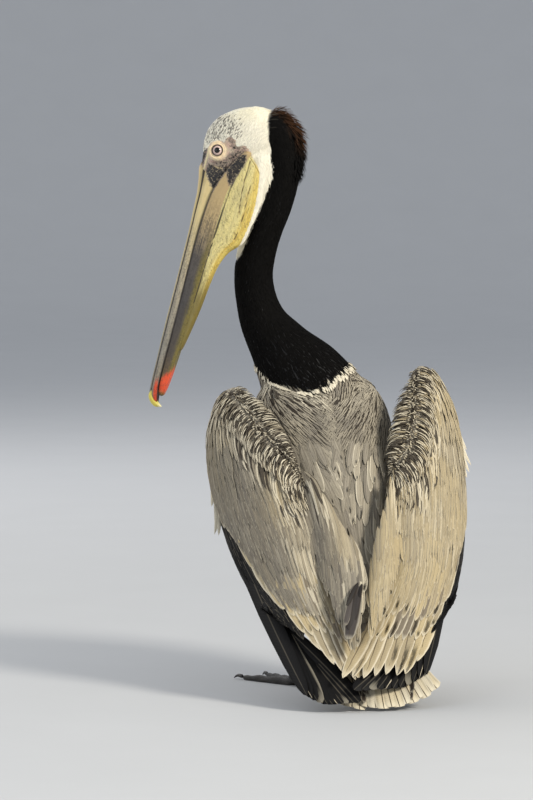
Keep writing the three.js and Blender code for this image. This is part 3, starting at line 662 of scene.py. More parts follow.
def grow(plume: Plume, bed: Bed, rng: np.random.Generator) -> Growth:
    """Grows a bed's feathers, each a closed vane along an arched line.

    Args:
        plume: Shape of each.
        bed: Where they grow.
        rng: Source of their unevenness.

    Returns:
        Their mesh and its attributes.
    """
    share, wide, across, high, sizes, corners = plume.template()
    count, many = len(bed), len(share)
    t = share[None, :, None]
    control = 2 * bed.middle - 0.5 * bed.root - 0.5 * bed.tip
    root, bend, tip = bed.root[:, None], control[:, None], bed.tip[:, None]
    centre = (1 - t) ** 2 * root + 2 * t * (1 - t) * bend + t**2 * tip
    along = unit(2 * (1 - t) * (bend - root) + 2 * t * (tip - bend) + TINY)
    face = flat_to(bed.rise[:, None] * (1 - t) + bed.fall[:, None] * t, along)
    side = np.cross(along, face)
    angle = np.radians(bed.twist)[:, None, None]
    face, side = face * np.cos(angle) - side * np.sin(angle), side * np.cos(angle) + face * np.sin(angle)
    uneven = 1 + plume.ragged * rng.standard_normal((count, many)) * np.abs(across)[None]
    half = bed.width[:, None] / 2 * wide[None] * uneven
    thin = bed.thick[:, None] / 2 * (1 - THINNING * share[None])
    drop = plume.cup * bed.width[:, None] * (across**2 * wide)[None]
    points = centre + side * (half * across[None])[..., None] + face * (thin * high[None] - drop)[..., None]
    loops = (corners[None] + np.arange(count)[:, None] * many).ravel()
    u, v = (across[corners] + 1) / 2, share[corners]
    vane = table(np.tile(u, count), np.tile(v, count))
    spot = table(u - 0.5, v - 0.5) * PATCH
    bake = (bed.patch[:, None] + spot[None]).reshape(-1, 2)
    tone = np.repeat(bed.tone, many, axis=0)
    mark = np.repeat(bed.mark, many, axis=0)
    rim = np.tile((np.abs(across) > 0.99) | (share == 0) | (share == 1), count)
    return Growth(points.reshape(-1, 3), np.tile(sizes, count), loops, vane, bake, tone, mark, rim)


def merged(parts: Sequence[Growth]) -> Growth:
    """One growth of several."""
    offsets = np.cumsum([0] + [len(p.points) for p in parts])
    corners = np.concatenate([p.corners + offset for p, offset in zip(parts, offsets)])
    stack = {name: np.concatenate([getattr(p, name) for p in parts]) for name in Growth.__dataclass_fields__}
    stack["corners"] = corners
    return Growth(**stack)


def patch_round(degrees: Array, shares: Array) -> Array:
    """Places on the map of patches of feathers that grow round a swept body."""
    return table((degrees / 360 + 0.5) * 0.99 % 1.0, shares * 0.99)


class Workshop:
    """Makes the finished objects and hands them to the frame."""

    def __init__(self) -> None:
        """Starts with no pieces."""
        self.faces = 0

    def declare(
        self, name: str, mesh: bpy.types.Mesh, finish: Material, slot: str, nodes: Sequence[str]
    ) -> None:
        """Makes a mesh an object of the scene that rides on the body.

        Args:
            name: Name of the piece.
            mesh: Its mesh, in metres.
            finish: Its material.
            slot: The record's material slot; not used.
            nodes: Nodes of the solids that it stands for.
        """
        mesh.name = name
        mesh.materials.clear()
        mesh.materials.append(finish)
        mesh.shade_smooth()
        piece = bpy.data.objects.new(name, mesh)
        bpy.context.scene.collection.objects.link(piece)
        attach(piece, BODY)
        if nodes:
            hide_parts(*nodes)
        triangles = sum(len(p.vertices) - 2 for p in mesh.polygons)
        self.faces += triangles
        log.info("%-22s %7d triangles, %8d in all", name, triangles, self.faces)

    def from_bmesh(
        self, name: str, bm: bmesh.types.BMesh, finish: Material, slot: str, nodes: Sequence[str] = ()
    ) -> None:
        """Makes a bmesh in design millimetres a piece, with its faces turned outwards."""
        bmesh.ops.recalc_face_normals(bm, faces=bm.faces)
        points = places_of(bm.verts)
        place(bm.verts, row_frame(points))
        layer = bm.verts.layers.float_vector.new(HEAD_PLACE)
        for vert, spot in zip(bm.verts, to_head(points) / 100):
            vert[layer] = spot
        mesh = bpy.data.meshes.new(name)
        bm.to_mesh(mesh)
        bm.free()
        self.declare(name, mesh, finish, slot, nodes)

    def from_growth(
        self, name: str, made: Growth, finish: Material, slot: str, nodes: Sequence[str] = ()
    ) -> None:
        """Makes grown feathers a piece."""
        mesh = bpy.data.meshes.new(name)
        mesh.vertices.add(len(made.points))
        mesh.vertices.foreach_set("co", row_frame(made.points).ravel().astype(np.float32))
        mesh.loops.add(len(made.corners))
        mesh.loops.foreach_set("vertex_index", made.corners.astype(np.int32))
        mesh.polygons.add(len(made.sizes))
        starts = np.concatenate([[0], np.cumsum(made.sizes)[:-1]])
        mesh.polygons.foreach_set("loop_start", starts.astype(np.int32))
        mesh.update(calc_edges=True)
        ends = np.empty(len(mesh.edges) * 2, np.int32)
        mesh.edges.foreach_get("vertices", ends)
        crisp = mesh.attributes.new("sharp_edge", "BOOLEAN", "EDGE")
        crisp.data.foreach_set("value", made.rim[ends].reshape(-1, 2).all(axis=1))
        for label, data in ((TONE, table(*made.tone.T, 1.0)), (MARK, made.mark)):
            layer = mesh.attributes.new(label, "FLOAT_COLOR", "POINT")
            layer.data.foreach_set("color", data.ravel().astype(np.float32))
        for label, data in ((BAKE_MAP, made.bake), (VANE_MAP, made.vane)):
            layer = mesh.uv_layers.new(name=label)
            layer.data.foreach_set("uv", data.ravel().astype(np.float32))
        self.declare(name, mesh, finish, slot, nodes)


class Surface:
    """Skin that feathers are laid on."""

    def __init__(self, bm: bmesh.types.BMesh) -> None:
        """Reads a mesh in design millimetres."""
        self.tree = BVHTree.FromBMesh(bm)

    def nearest(self, points: Array) -> tuple[Array, Array, Array]:
        """Nearest points of the skin, their normals and how far off they are."""
        found = [self.tree.find_nearest(Vector(p)) for p in points]
        spots = np.array([f[0] for f in found]).reshape(-1, 3)
        normals = np.array([f[1] for f in found]).reshape(-1, 3)
        return spots, normals, np.array([f[3] for f in found])

    def lay(
        self, spots: Array, directions: Array, length: Array, lift: tuple[float, float, float]
    ) -> tuple[Array, ...]:
        """Lays feathers over the skin.

        Args:
            spots: Where they grow.
            directions: Which way they lie.
            length: Length of each.
            lift: Height of root, middle and tip over the skin.

        Returns:
            Roots, middles, tips, and normals at roots and tips.
        """
        root, rise, _ = self.nearest(spots)
        lie = flat_to(directions, rise)
        length = np.broadcast_to(length, len(root))[:, None]
        middle, halfway, _ = self.nearest(root + lie * length * 0.5)
        tip, fall, _ = self.nearest(middle + flat_to(lie, halfway) * length * 0.5)
        return root + rise * lift[0], middle + halfway * lift[1], tip + fall * lift[2], rise, fall


@dataclass(frozen=True)
class Tract:
    """Rows of feathers round a swept body.

    Attributes:
        body: The body that they grow on.
        along: Distance between rows.
        round: Distance between neighbours in a row.
        span: Shares of the body that the rows cover.
        arc: Degrees from the back side that they cover.
        jitter: How far each is out of its place, as a share of the distances.
    """

    body: Loft
    along: float
    round: float
    span: tuple[float, float] = (0.0, 1.0)
    arc: tuple[float, float] = (-180.0, 180.0)
    jitter: float = 0.25

    def places(self, rng: np.random.Generator) -> tuple[Array, Array]:
        """Share and degrees of every feather."""
        rows = max(2, int(self.body.length() * (self.span[1] - self.span[0]) / self.along))
        shares = np.linspace(*self.span, rows)
        size = self.body.frame(shares)[4].mean(axis=1)
        reach = self.arc[1] - self.arc[0]
        made = []
        for i, (share, radius) in enumerate(zip(shares, size)):
            count = max(2, int(math.radians(reach) * radius / self.round))
            degrees = self.arc[0] + (np.arange(count) + 0.5 * (i % 2) + 0.25) * reach / count
            made.append(table(share, degrees))
        made = np.concatenate(made)
        made[:, 0] += rng.uniform(-1, 1, len(made)) * self.jitter * self.along / self.body.length()
        gap = np.degrees(self.round / np.interp(made[:, 0], shares, size))
        made[:, 1] += rng.uniform(-1, 1, len(made)) * self.jitter * gap
        return np.clip(made[:, 0], 0, 1), made[:, 1]


# ---- colours ----
def shade(red: int, green: int, blue: int) -> Colour:
    """Linear colour of screen values from 0 to 255."""
    parts = (red / 255, green / 255, blue / 255)
    return tuple(v / 12.92 if v <= 0.04 else ((v + 0.055) / 1.055) ** 2.4 for v in parts)


def tone_of(red: int, green: int, blue: int) -> Array:
    """Linear colour of screen values, as an array that can be multiplied."""
    return np.array(shade(red, green, blue))


CREAM = tone_of(231, 225, 206)
CROWN_CREAM = tone_of(232, 225, 198)
SPECKLE = tone_of(84, 78, 74)
NECK_DARK = tone_of(13, 12, 11)
CHESTNUT = tone_of(74, 50, 33)
SILVER = tone_of(178, 168, 147)
SILVER_GREY = tone_of(126, 119, 108)
SILVER_WARM = tone_of(182, 165, 129)
EDGE_DARK = tone_of(46, 38, 31)
BELLY_DARK = tone_of(56, 48, 42)
BLACK_QUILL = tone_of(18, 17, 17)
PALE_TIP = tone_of(226, 216, 192)
QUILL_BROWN = tone_of(98, 86, 72)


@dataclass(frozen=True)
class PlumageFinish:
    """Finish of feathers, whose colours come from their own attributes.

    Attributes:
        name: Name of the material.
        edge: Colour of dark edges.
        pale: Colour of pale edges and tips.
        shaft: Colour of shafts.
        barbs: Barbs along a feather.
        roughness: Mean roughness.
        gloss: Specular level.
        relief: Height of the barbs in metres.
    """

    name: str
    edge: Colour = tuple(EDGE_DARK)
    pale: Colour = tuple(PALE_TIP)
    shaft: Colour = tuple(EDGE_DARK)
    barbs: float = 26.0
    roughness: float = 0.62
    gloss: float = 0.18
    relief: float = 0.0003

    def material(self) -> Material:
        """Paints the material."""
        p = Paint(self.name)
        tone = p.attribute(TONE)
        mark = p.attribute(MARK)
        dark, light, shaft = p.split(mark)
        chance = Value(p, mark.socket.node.outputs["Alpha"])
        across, along, _ = p.split(p.uv(VANE_MAP))
        side = abs(across * 2.0 - 1.0)
        slant = along * self.barbs + side * 2.2 + chance * 7.0
        ripple = p.noise(p.joined(slant * 1.6, across * 0.9 + chance * 9.0, chance * 30.0), 2.4, 3.0, 0.6)
        wave = p.math("SINE", slant * 6.2832) * 0.5 + 0.5
        grain = ripple * 0.7 + wave * 0.3
        blotch = p.noise(p.place(), 55.0, 2.0)
        ragged = side + (ripple - 0.5) * 0.5
        colour = p.tint(tone, 0.74 + grain * 0.3 + blotch * 0.2)
        colour = p.mix(p.step(ragged, 0.42, 0.74) * dark, colour, self.edge)
        rim = p.math("MAXIMUM", p.step(side, 0.66, 0.92), p.step(along, 0.9, 0.99))
        colour = p.mix(rim * light, colour, self.pale)
        colour = p.mix(p.step(side, 0.1, 0.03) * shaft, colour, self.shaft)
        ridge = p.step(side, 0.14, 0.02) * shaft
        bump = p.bump(grain * 0.6 + ridge, self.relief)
        return p.surface(
            {
                "Base Color": colour, "Roughness": self.roughness + (grain - 0.5) * 0.2,
                "Specular IOR Level": self.gloss, "Normal": bump,
            }
        )


# ---- the body's forms ----
SKULL = HeadBody(
    (
        (-74, -31, -41, 7), (-70, -18, -52, 19), (-60, 0.5, -61, 27), (-43, 17.5, -66, 31),
        (-24, 25.5, -65, 30), (-6, 25.5, -55, 26), (8, 22, -43, 22.5), (20, 19.5, -30, 18.5),
        (29, 17, -20, 13), (33, 8, -4, 4),
    )
)
THROAT = HeadBody(
    (
        (-26, -26, -62, 10), (-16, -32, -68, 15), (0, -42, -73, 17), (14, -50, -76, 16),
        (32, -56, -77.5, 14), (52, -60, -78, 11.5), (72, -62, -77, 9.5), (94, -60, -74.5, 7.5),
        (112, -58, -70, 5),
    )
)
NECK_ROWS = (
    (8, -136, 318, 56, 50, 50), (30, -143, 362, 64, 58, 58), (60, -151, 404, 58, 53, 54),
    (87, -157, 441, 42, 41, 41), (108, -160, 473, 32.5, 32.5, 32.5), (118, -158, 503, 28, 28, 28),
    (122, -154, 535, 26.5, 26.5, 26.5), (118, -149, 567, 26.5, 26.5, 26.5),
    (109, -143, 599, 26.5, 26.5, 26.5), (95.5, -137, 631, 25.5, 25.5, 25.5), (86, -132, 664, 25, 25, 25),
    (82, -128, 697, 25.5, 25, 25), (85, -126, 722, 26, 25, 25), (96, -125, 738, 24, 20, 24),
    (116, -125, 735, 20, 14, 20),
)
TORSO_ROWS = (
    (-137, 408, 46, 28, 32), (-143, 387, 79, 49, 54), (-141, 346, 96, 65, 69), (-122, 290, 101, 76, 80),
    (-88, 236, 105, 80, 84), (-44, 187, 99, 75, 77), (6, 149, 85, 61, 60), (54, 124, 76, 50, 42),
    (94, 104, 63, 40, 31), (126, 86, 42, 27, 19),
)
WING_ROWS = (
    (130, -112, 394, 9, 8, 8), (129, -104, 376, 24, 15, 15), (127, -92, 346, 43, 21, 21),
    (121, -72, 306, 55, 26, 24), (113, -42, 260, 60, 28, 25), (106, -4, 212, 60, 26, 23),
    (100, 36, 170, 53, 20, 18), (96, 72, 134, 40, 13, 12), (92, 101, 107, 25, 7, 7),
)
BODY_BACK = np.array([0.0, 0.75, 0.66])
LEG_HIP, LEG_HEEL, LEG_ANKLE = (44.0, -62.0, 128.0), (49.0, -58.0, 74.0), (53.0, -66.0, 11.0)


def nape_at(shares: Array) -> Array:
    """Direction that the nape faces along the neck."""
    turn = step(shares, 0.1, 0.55)
    return unit(mixed(BACK, -LEFT + 0.25 * UP, turn))


def facing(direction: Array) -> Callable[[Array], Array]:
    """The same back direction all along a body."""
    return lambda shares: np.broadcast_to(unit(np.asarray(direction, float)), (len(shares), 3))


def neck_loft() -> Loft:
    """The neck, from the breast up to the skull."""
    rows = [[*(left * LEFT + back * BACK + up * UP), *sizes] for left, back, up, *sizes in NECK_ROWS]
    return Loft(np.array(rows), nape_at, 0.05)


def head_loft(body: HeadBody) -> Loft:
    """A body of the head as a swept oval, for rows of feathers."""
    rows = [
        [*from_head(np.array([ahead, (top + low) / 2, 0.0])), half, (top - low) / 2, (top - low) / 2]
        for ahead, top, low, half in body.rows
    ]
    return Loft(np.array(rows), facing(CROWN), 0.05)


def wing_loft(side: Side) -> Loft:
    """The folded arm of one wing, from its wrist down."""
    bulge, tuck, lift = {Side.LEFT: (-5, 0, 0), Side.RIGHT: (11, 17, 26)}[side]
    rows = []
    for i, (x, y, z, *sizes) in enumerate(WING_ROWS):
        share = i / (len(WING_ROWS) - 1)
        out = x + bulge * math.sin(math.pi * share) - tuck * share * share
        rows.append([side.value * out, y, z + lift * (1 - share), *sizes])
    return Loft(np.array(rows), facing(wing_face(side)), 0.07)


def wing_face(side: Side) -> Array:
    """Direction that the outer face of a folded wing looks in."""
    out = {Side.LEFT: (0.62, 0.64, 0.45), Side.RIGHT: (0.46, 0.73, 0.5)}[side]
    return unit(np.array(out) * [side.value, 1, 1])


def thigh_loft(side: Side) -> Loft:
    """One feathered thigh."""
    hip, heel = np.array(LEG_HIP) * [side.value, 1, 1], np.array(LEG_HEEL) * [side.value, 1, 1]
    rows = [
        [*(hip + [0, 0, 22]), 26, 26, 26],
        [*hip, 27, 27, 27],
        [*(hip * 0.4 + heel * 0.6), 16, 16, 16],
        [*(heel + [0, 0, 4]), 9.5, 9.5, 9.5],
        [*(heel - [0, 0, 5]), 8, 8, 8],
    ]
    return Loft(np.array(rows), facing((0, 1, 0)), 0.12)


@dataclass(frozen=True)
class Form:
    """The bird's body of flesh, as swept bodies."""

    skull: Loft = field(default_factory=lambda: head_loft(SKULL))
    throat: Loft = field(default_factory=lambda: head_loft(THROAT))
    neck: Loft = field(default_factory=neck_loft)
    torso: Loft = field(
        default_factory=lambda: Loft(np.array([(0, *row) for row in TORSO_ROWS], float), facing(BODY_BACK))
    )
    arms: dict = field(default_factory=lambda: {side: wing_loft(side) for side in Side})
    thighs: dict = field(default_factory=lambda: {side: thigh_loft(side) for side in Side})


def off_line(spots: Array, start: Array, run: Array) -> tuple[Array, Array]:
    """Distances of flat spots from a straight piece of line, and shares of the way along it."""
    share = np.clip(((spots - start) @ run) / (run @ run), 0, 1)
    return np.hypot(*(spots - start - share[:, None] * run).T), share


def near_line(spots: Array, line: Sequence[tuple[float, float, float]]) -> Array:
    """How deep flat spots lie in a stroke of varying half-width: 1 on its line, 0 at its edge and beyond.

    Args:
        spots: Rows of two numbers.
        line: Points of the stroke, each with its half-width.

    Returns:
        A depth for each spot.
    """
    best = np.zeros(len(spots))
    for (ax, ay, ar), (bx, by, br) in zip(line, line[1:]):
        gap, share = off_line(spots, np.array([ax, ay], float), np.array([bx - ax, by - ay], float))
        best = np.maximum(best, 1 - gap / (ar + (br - ar) * share))
    return np.clip(best, 0, 1)


def depth_inside(spots: Array, outline: Sequence[tuple[float, float]]) -> Array:
    """Signed distance of flat spots from an outline, positive inside it."""
    ring = np.array(outline, float)
    inside = np.zeros(len(spots), bool)
    gap = np.full(len(spots), np.inf)
    for a, b in zip(ring, np.roll(ring, -1, axis=0)):
        run = b - a
        gap = np.minimum(gap, off_line(spots, a, run)[0])
        crosses = (a[1] > spots[:, 1]) != (b[1] > spots[:, 1])
        at = a[0] + (spots[:, 1] - a[1]) * run[0] / (run[1] or TINY)
        inside ^= crosses & (spots[:, 0] < at)
    return np.where(inside, gap, -gap)


SCATTER = np.array([12.9898, 78.233, 37.719])  # turns a place into a number that looks like chance
SCATTER_SIZE = 43758.5453


@dataclass(frozen=True)
class Markings:
    """Colours of the plumage and the bare face, read at any place on the body.

    Attributes:
        form: The bird's body.
        white_edge: Places ahead of the eyes, and heights of the white head's lower edge there.
        collar: Places to the left, and heights of the dark neck's foot there.
        bare: Outline of the bare face, as places ahead and up from an eye.
        dark_patches: Outlines of its black patches.
        grey_patches: Outlines of its grey patches.
        speckled: Outline of the speckled forehead.
    """

    form: Form
    white_edge: tuple = (
        (-80, -74, -59, -41, -24, -10, 6, 25, 42, 74, 99, 121, 132, 140),
        (-46, -48, -50, -57, -65, -72, -77.5, -77.6, -76.5, -73.5, -71, -67, -52, 60),
    )
    collar: tuple = ((-60, 0, 12, 30, 48, 74, 100, 126, 160), (452, 420, 407, 394, 387, 386, 399, 425, 455))
    bare: tuple = (
        (-12, -6), (-13, 3), (-9, 10.5), (0, 14), (6, 19), (14, 34), (80, 34), (80, -56), (60, -58),
        (24, -61), (12, -60), (6, -55), (-1, -46), (-5, -45), (-10, -43), (-15, -38), (-17, -31),
        (-13, -23), (-20, -18), (-22, -11), (-18, -6),
    )
    dark_patches: tuple = (
        (
            (28, 8), (18.6, 7.7), (20.7, 1), (19.8, -5), (21.5, -11), (23, -17), (20.6, -20.3), (29.4, -18),
            (40, -14), (52, -11.6), (45.4, -4.8), (37.4, 3.3),
        ),
        (
            (23, -20), (15, -22.7), (5.6, -25.8), (-1, -29.9), (-7, -33.7), (-5, -39.4), (1.5, -41.5),
            (11, -40), (18.5, -36.7), (27, -34.4), (35, -33.4), (39.6, -30.7), (34.3, -25.8), (28.8, -23.2),
        ),
        ((5, 23), (1.6, 20), (-6, 16.6), (4, 13.8), (17, 13.4), (23, 15.6), (20.7, 19.5)),
    )
    grey_patches: tuple = (
        (
            (14, 4), (12, -5.6), (4.5, -12.6), (-4, -19.3), (-10.4, -25.7), (-15, -30.4), (-15, -37),
            (-7.4, -36), (4.3, -30), (14, -26), (24, -22), (24, -10.8), (21, 4),
        ),
        (
            (-18.8, -5.6), (-23.5, -10.4), (-21.5, -17.5), (-13.6, -22.4), (-16, -30), (-15, -36.4),
            (-7.7, -37.3), (-6.5, -27), (-5, -18.9), (-10.7, -13.7),
        ),
        ((-10, 18), (-8, 12), (2, 13), (14, 12.6), (26, 13), (24, 20), (8, 24), (-4, 22)),
    )
    speckled: tuple = (
        (-13, 24), (-30, 23), (-41, 16), (-43, 2.6), (-40, -11), (-31, -21), (-20, -16), (-12, -1.3),
        (-8, 12), (4, 22),
    )

    def whiteness(self, points: Array) -> Array:
        """Share of white plumage: the head, and a stripe down the front of the neck."""
        head = to_head(points)
        edge = np.interp(head[:, 0], *self.white_edge)
        return step(head[:, 1] - edge + 1.0 * cloud(points, 5.0, 1.0), -1.2, 1.2)

    def bareness(self, points: Array) -> Array:
        """Share of bare skin on the face."""
        head = to_head(points)
        deep = depth_inside(head[:, :2], self.bare)
        return step(deep + 0.8 * cloud(points, 4.0, 2.0), -1.0, 1.0) * (np.abs(head[:, 2]) < 60)

    def mottle(self, points: Array) -> Array:
        """How dark the bare face is mottled."""
        head = to_head(points)[:, :2] + 0.9 * table(cloud(points, 6.0, 8.0), cloud(points, 6.0, 9.0))
        black, grey = (
            np.max([step(depth_inside(head, patch), -soft, soft) for patch in patches], axis=0)
            for patches, soft in ((self.dark_patches, 3.5), (self.grey_patches, 4.0))
        )
        return np.maximum(0.8 * black, 0.5 * grey)

    def collar_height(self, points: Array, nape: Array | float = 0.0) -> Array:
        """Height of the dark neck's foot, which runs lower at its front."""
        return np.interp(points @ LEFT, *self.collar) - 46 * step(np.abs(nape), 118, 150)

    def read(self, points: Array) -> tuple[Array, Array]:
        """Colour and marks of the plumage.

        Args:
            points: Places on the body.

        Returns:
            Colours, and marks: dark edge, pale edge, shaft and chance.
        """
        head = to_head(points)
        chance = (np.sin(points @ SCATTER) * SCATTER_SIZE) % 1.0
        wave = cloud(points, 26.0, 3.0)
        fine = cloud(points, 3.2, 4.0)
        _, nape, _ = self.form.neck.find(points)
        share, back, _ = self.form.torso.find(points)
        # silver back and mantle, over a dark breast and belly
        silver = mixed(SILVER_GREY, SILVER, np.clip(0.5 + 0.4 * wave + 0.5 * (chance - 0.5), 0, 1))
        lower = step(share, 0.25, 0.5)
        silver = mixed(silver, SILVER_GREY, lower * 0.5)
        under = step(np.abs(back) + 10 * wave, 92, 124)
        tone = mixed(silver, BELLY_DARK * (0.7 + 0.6 * chance[:, None]), under)
        dark_edge = mixed(0.95 - 0.45 * lower[:, None], 0.2, under)[:, 0]
        pale_edge = 0.5 * lower * (1 - under)
        # dark neck above its collar
        over = points[:, 2] - self.collar_height(points, nape) + 3.5 * cloud(points, 7.0, 5.0)
        ring = np.exp(-(((over + 4.5) / 4.0) ** 2)) * (np.abs(nape) < 128) * step(fine, -0.5, 0.1)
        tone = mixed(tone, PALE_TIP, ring * 0.85 * (1 - under))
        neck = step(over, -1.5, 1.5)
        brown = NECK_DARK * (0.75 + 0.5 * chance[:, None])
        rear = step(np.abs(nape), 75, 20) * step(points[:, 2], 700, 736)
        brown = mixed(brown, CHESTNUT, rear * np.clip(0.35 + 0.9 * fine, 0, 1))
        tone = mixed(tone, brown, neck)
        # white head, yellower on the crown, speckled on the forehead and round the face
        white = self.whiteness(points) * (head[:, 0] < 135)
        cream = mixed(CREAM, CROWN_CREAM, np.clip(step(head[:, 0], -30, -60) * 0.8 + 0.2 * wave, 0, 1))
        front = step(depth_inside(head[:, :2] + 2.5 * fine[:, None], self.speckled), -11.0, 8.0)
        dots = (chance > 0.97 - 0.3 * front - 0.12 * fine * front) * step(front, 0.0, 0.3)
        cream = mixed(cream, SPECKLE, np.clip(dots * 0.8, 0, 1))
        tone = mixed(tone, cream, white)
        keep = (1 - neck) * (1 - white)
        return tone, table(dark_edge * keep, pale_edge * keep, 0.25 * keep, chance)


def fuse(bm: bmesh.types.BMesh, voxel: float) -> bmesh.types.BMesh:
    """Fuses overlapping closed bodies to one surface.

    Args:
        bm: Mesh of the bodies, which is freed.
        voxel: Size of the new faces.

    Returns:
        Mesh of the one surface.
    """
    mesh = bpy.data.meshes.new("flesh")
    bm.to_mesh(mesh)
    bm.free()
    source = bpy.data.objects.new("flesh", mesh)
    bpy.context.scene.collection.objects.link(source)
    modifier = source.modifiers.new("fuse", "REMESH")
    modifier.mode = "VOXEL"
    modifier.voxel_size = voxel
    graph = bpy.context.evaluated_depsgraph_get()
    result = bpy.data.meshes.new_from_object(source.evaluated_get(graph))
    fused = bmesh.new()
    fused.from_mesh(result)
    bpy.data.objects.remove(source)
    bpy.data.meshes.remove(mesh)
    bpy.data.meshes.remove(result)
    return fused


@dataclass
class Skin:
    """One skin over head, neck, trunk, arms and thighs.

    Attributes:
        form: The bodies that it covers.
        depth: How far it lies under the bodies' surface.
        voxel: Size of its mesh before the face is made finer.
        cheek_fold: Line of the fold under each eye, with half-widths.
        lid_gaps: Distances from an eye's axis.
        lid_levels: Distances from the middle of the skull that the lids have there.
    """

    form: Form
    depth: float = 1.6
    voxel: float = 2.95
    cheek_fold: tuple = ((-1, 12, 1.2), (10, 11.4, 1.7), (20, 11.2, 1.9), (30, 11.3, 1.6), (38, 10.9, 1.2))
    lid_gaps: tuple = (0.0, 5.6, 5.9, 6.5, 7.3, 8.3, 9.2, 10.4, 11.8, 13.2, 15.0, 17.0)
    lid_levels: tuple = (13.0, 13.5, 22.6, 24.5, 24.9, 24.2, 23.3, 23.9, 23.3, 23.8, 23.5, 23.5)

    def build(self) -> bmesh.types.BMesh:
        """Fuses the bodies to one surface and shapes the face, in design millimetres."""
        bm = bmesh.new()
        form = self.form
        SKULL.shell(bm, 48, 40, -self.depth)
        THROAT.shell(bm, 40, 40, -self.depth)
        form.neck.shell(bm, 40, 120, -self.depth)
        form.torso.shell(bm, 56, 60, -self.depth - 1.0)
        for side in Side:
            form.arms[side].shell(bm, 32, 48, -self.depth - 1.4)
            form.thighs[side].shell(bm, 24, 24, -self.depth)
        bmesh.ops.recalc_face_normals(bm, faces=bm.faces)
        fused = fuse(bm, self.voxel)
        smooth(fused, 5, 0.5)
        self._refine(fused, 24.0, 1)
        self._refine(fused, 12.5, 2)
        self._shape_face(fused)
        return fused

    def _refine(self, bm: bmesh.types.BMesh, reach: float, cuts: int) -> None:
        """Cuts the faces round both eyes finer."""
        bm.verts.index_update()
        head = to_head(places_of(bm.verts))
        out = np.abs(head[:, 2])
        near = (np.hypot(head[:, 0], head[:, 1]) < reach) & (out > 8) & (out < 40)
        edges = [e for e in bm.edges if near[e.verts[0].index] or near[e.verts[1].index]]
        bmesh.ops.subdivide_edges(bm, edges=edges, cuts=cuts, use_grid_fill=True)

    def _shape_face(self, bm: bmesh.types.BMesh) -> None:
        """Raises the lids round each eye in folds."""
        verts = list(bm.verts)
        head = to_head(places_of(verts))
        gap = np.hypot(head[:, 0] * 0.97, head[:, 1] * 1.04)
        near = (gap < 17) & (np.abs(head[:, 2]) > 8)
        level = np.interp(gap, self.lid_gaps, self.lid_levels)
        level = level + 0.2 * np.sin(np.arctan2(head[:, 1], head[:, 0]) * 9)
        weight = step(gap, 16.5, 10.5)
        out = np.abs(head[:, 2])
        shaped = np.where(near, out + (level - out) * weight, out)
        fold = near_line(head[:, :2], self.cheek_fold) * (out > 5)
        head[:, 2] = np.sign(head[:, 2]) * (shaped + 1.1 * fold)
        moved = from_head(head)
        for i in np.flatnonzero(near | (fold > 0)):
            verts[i].co = moved[i]


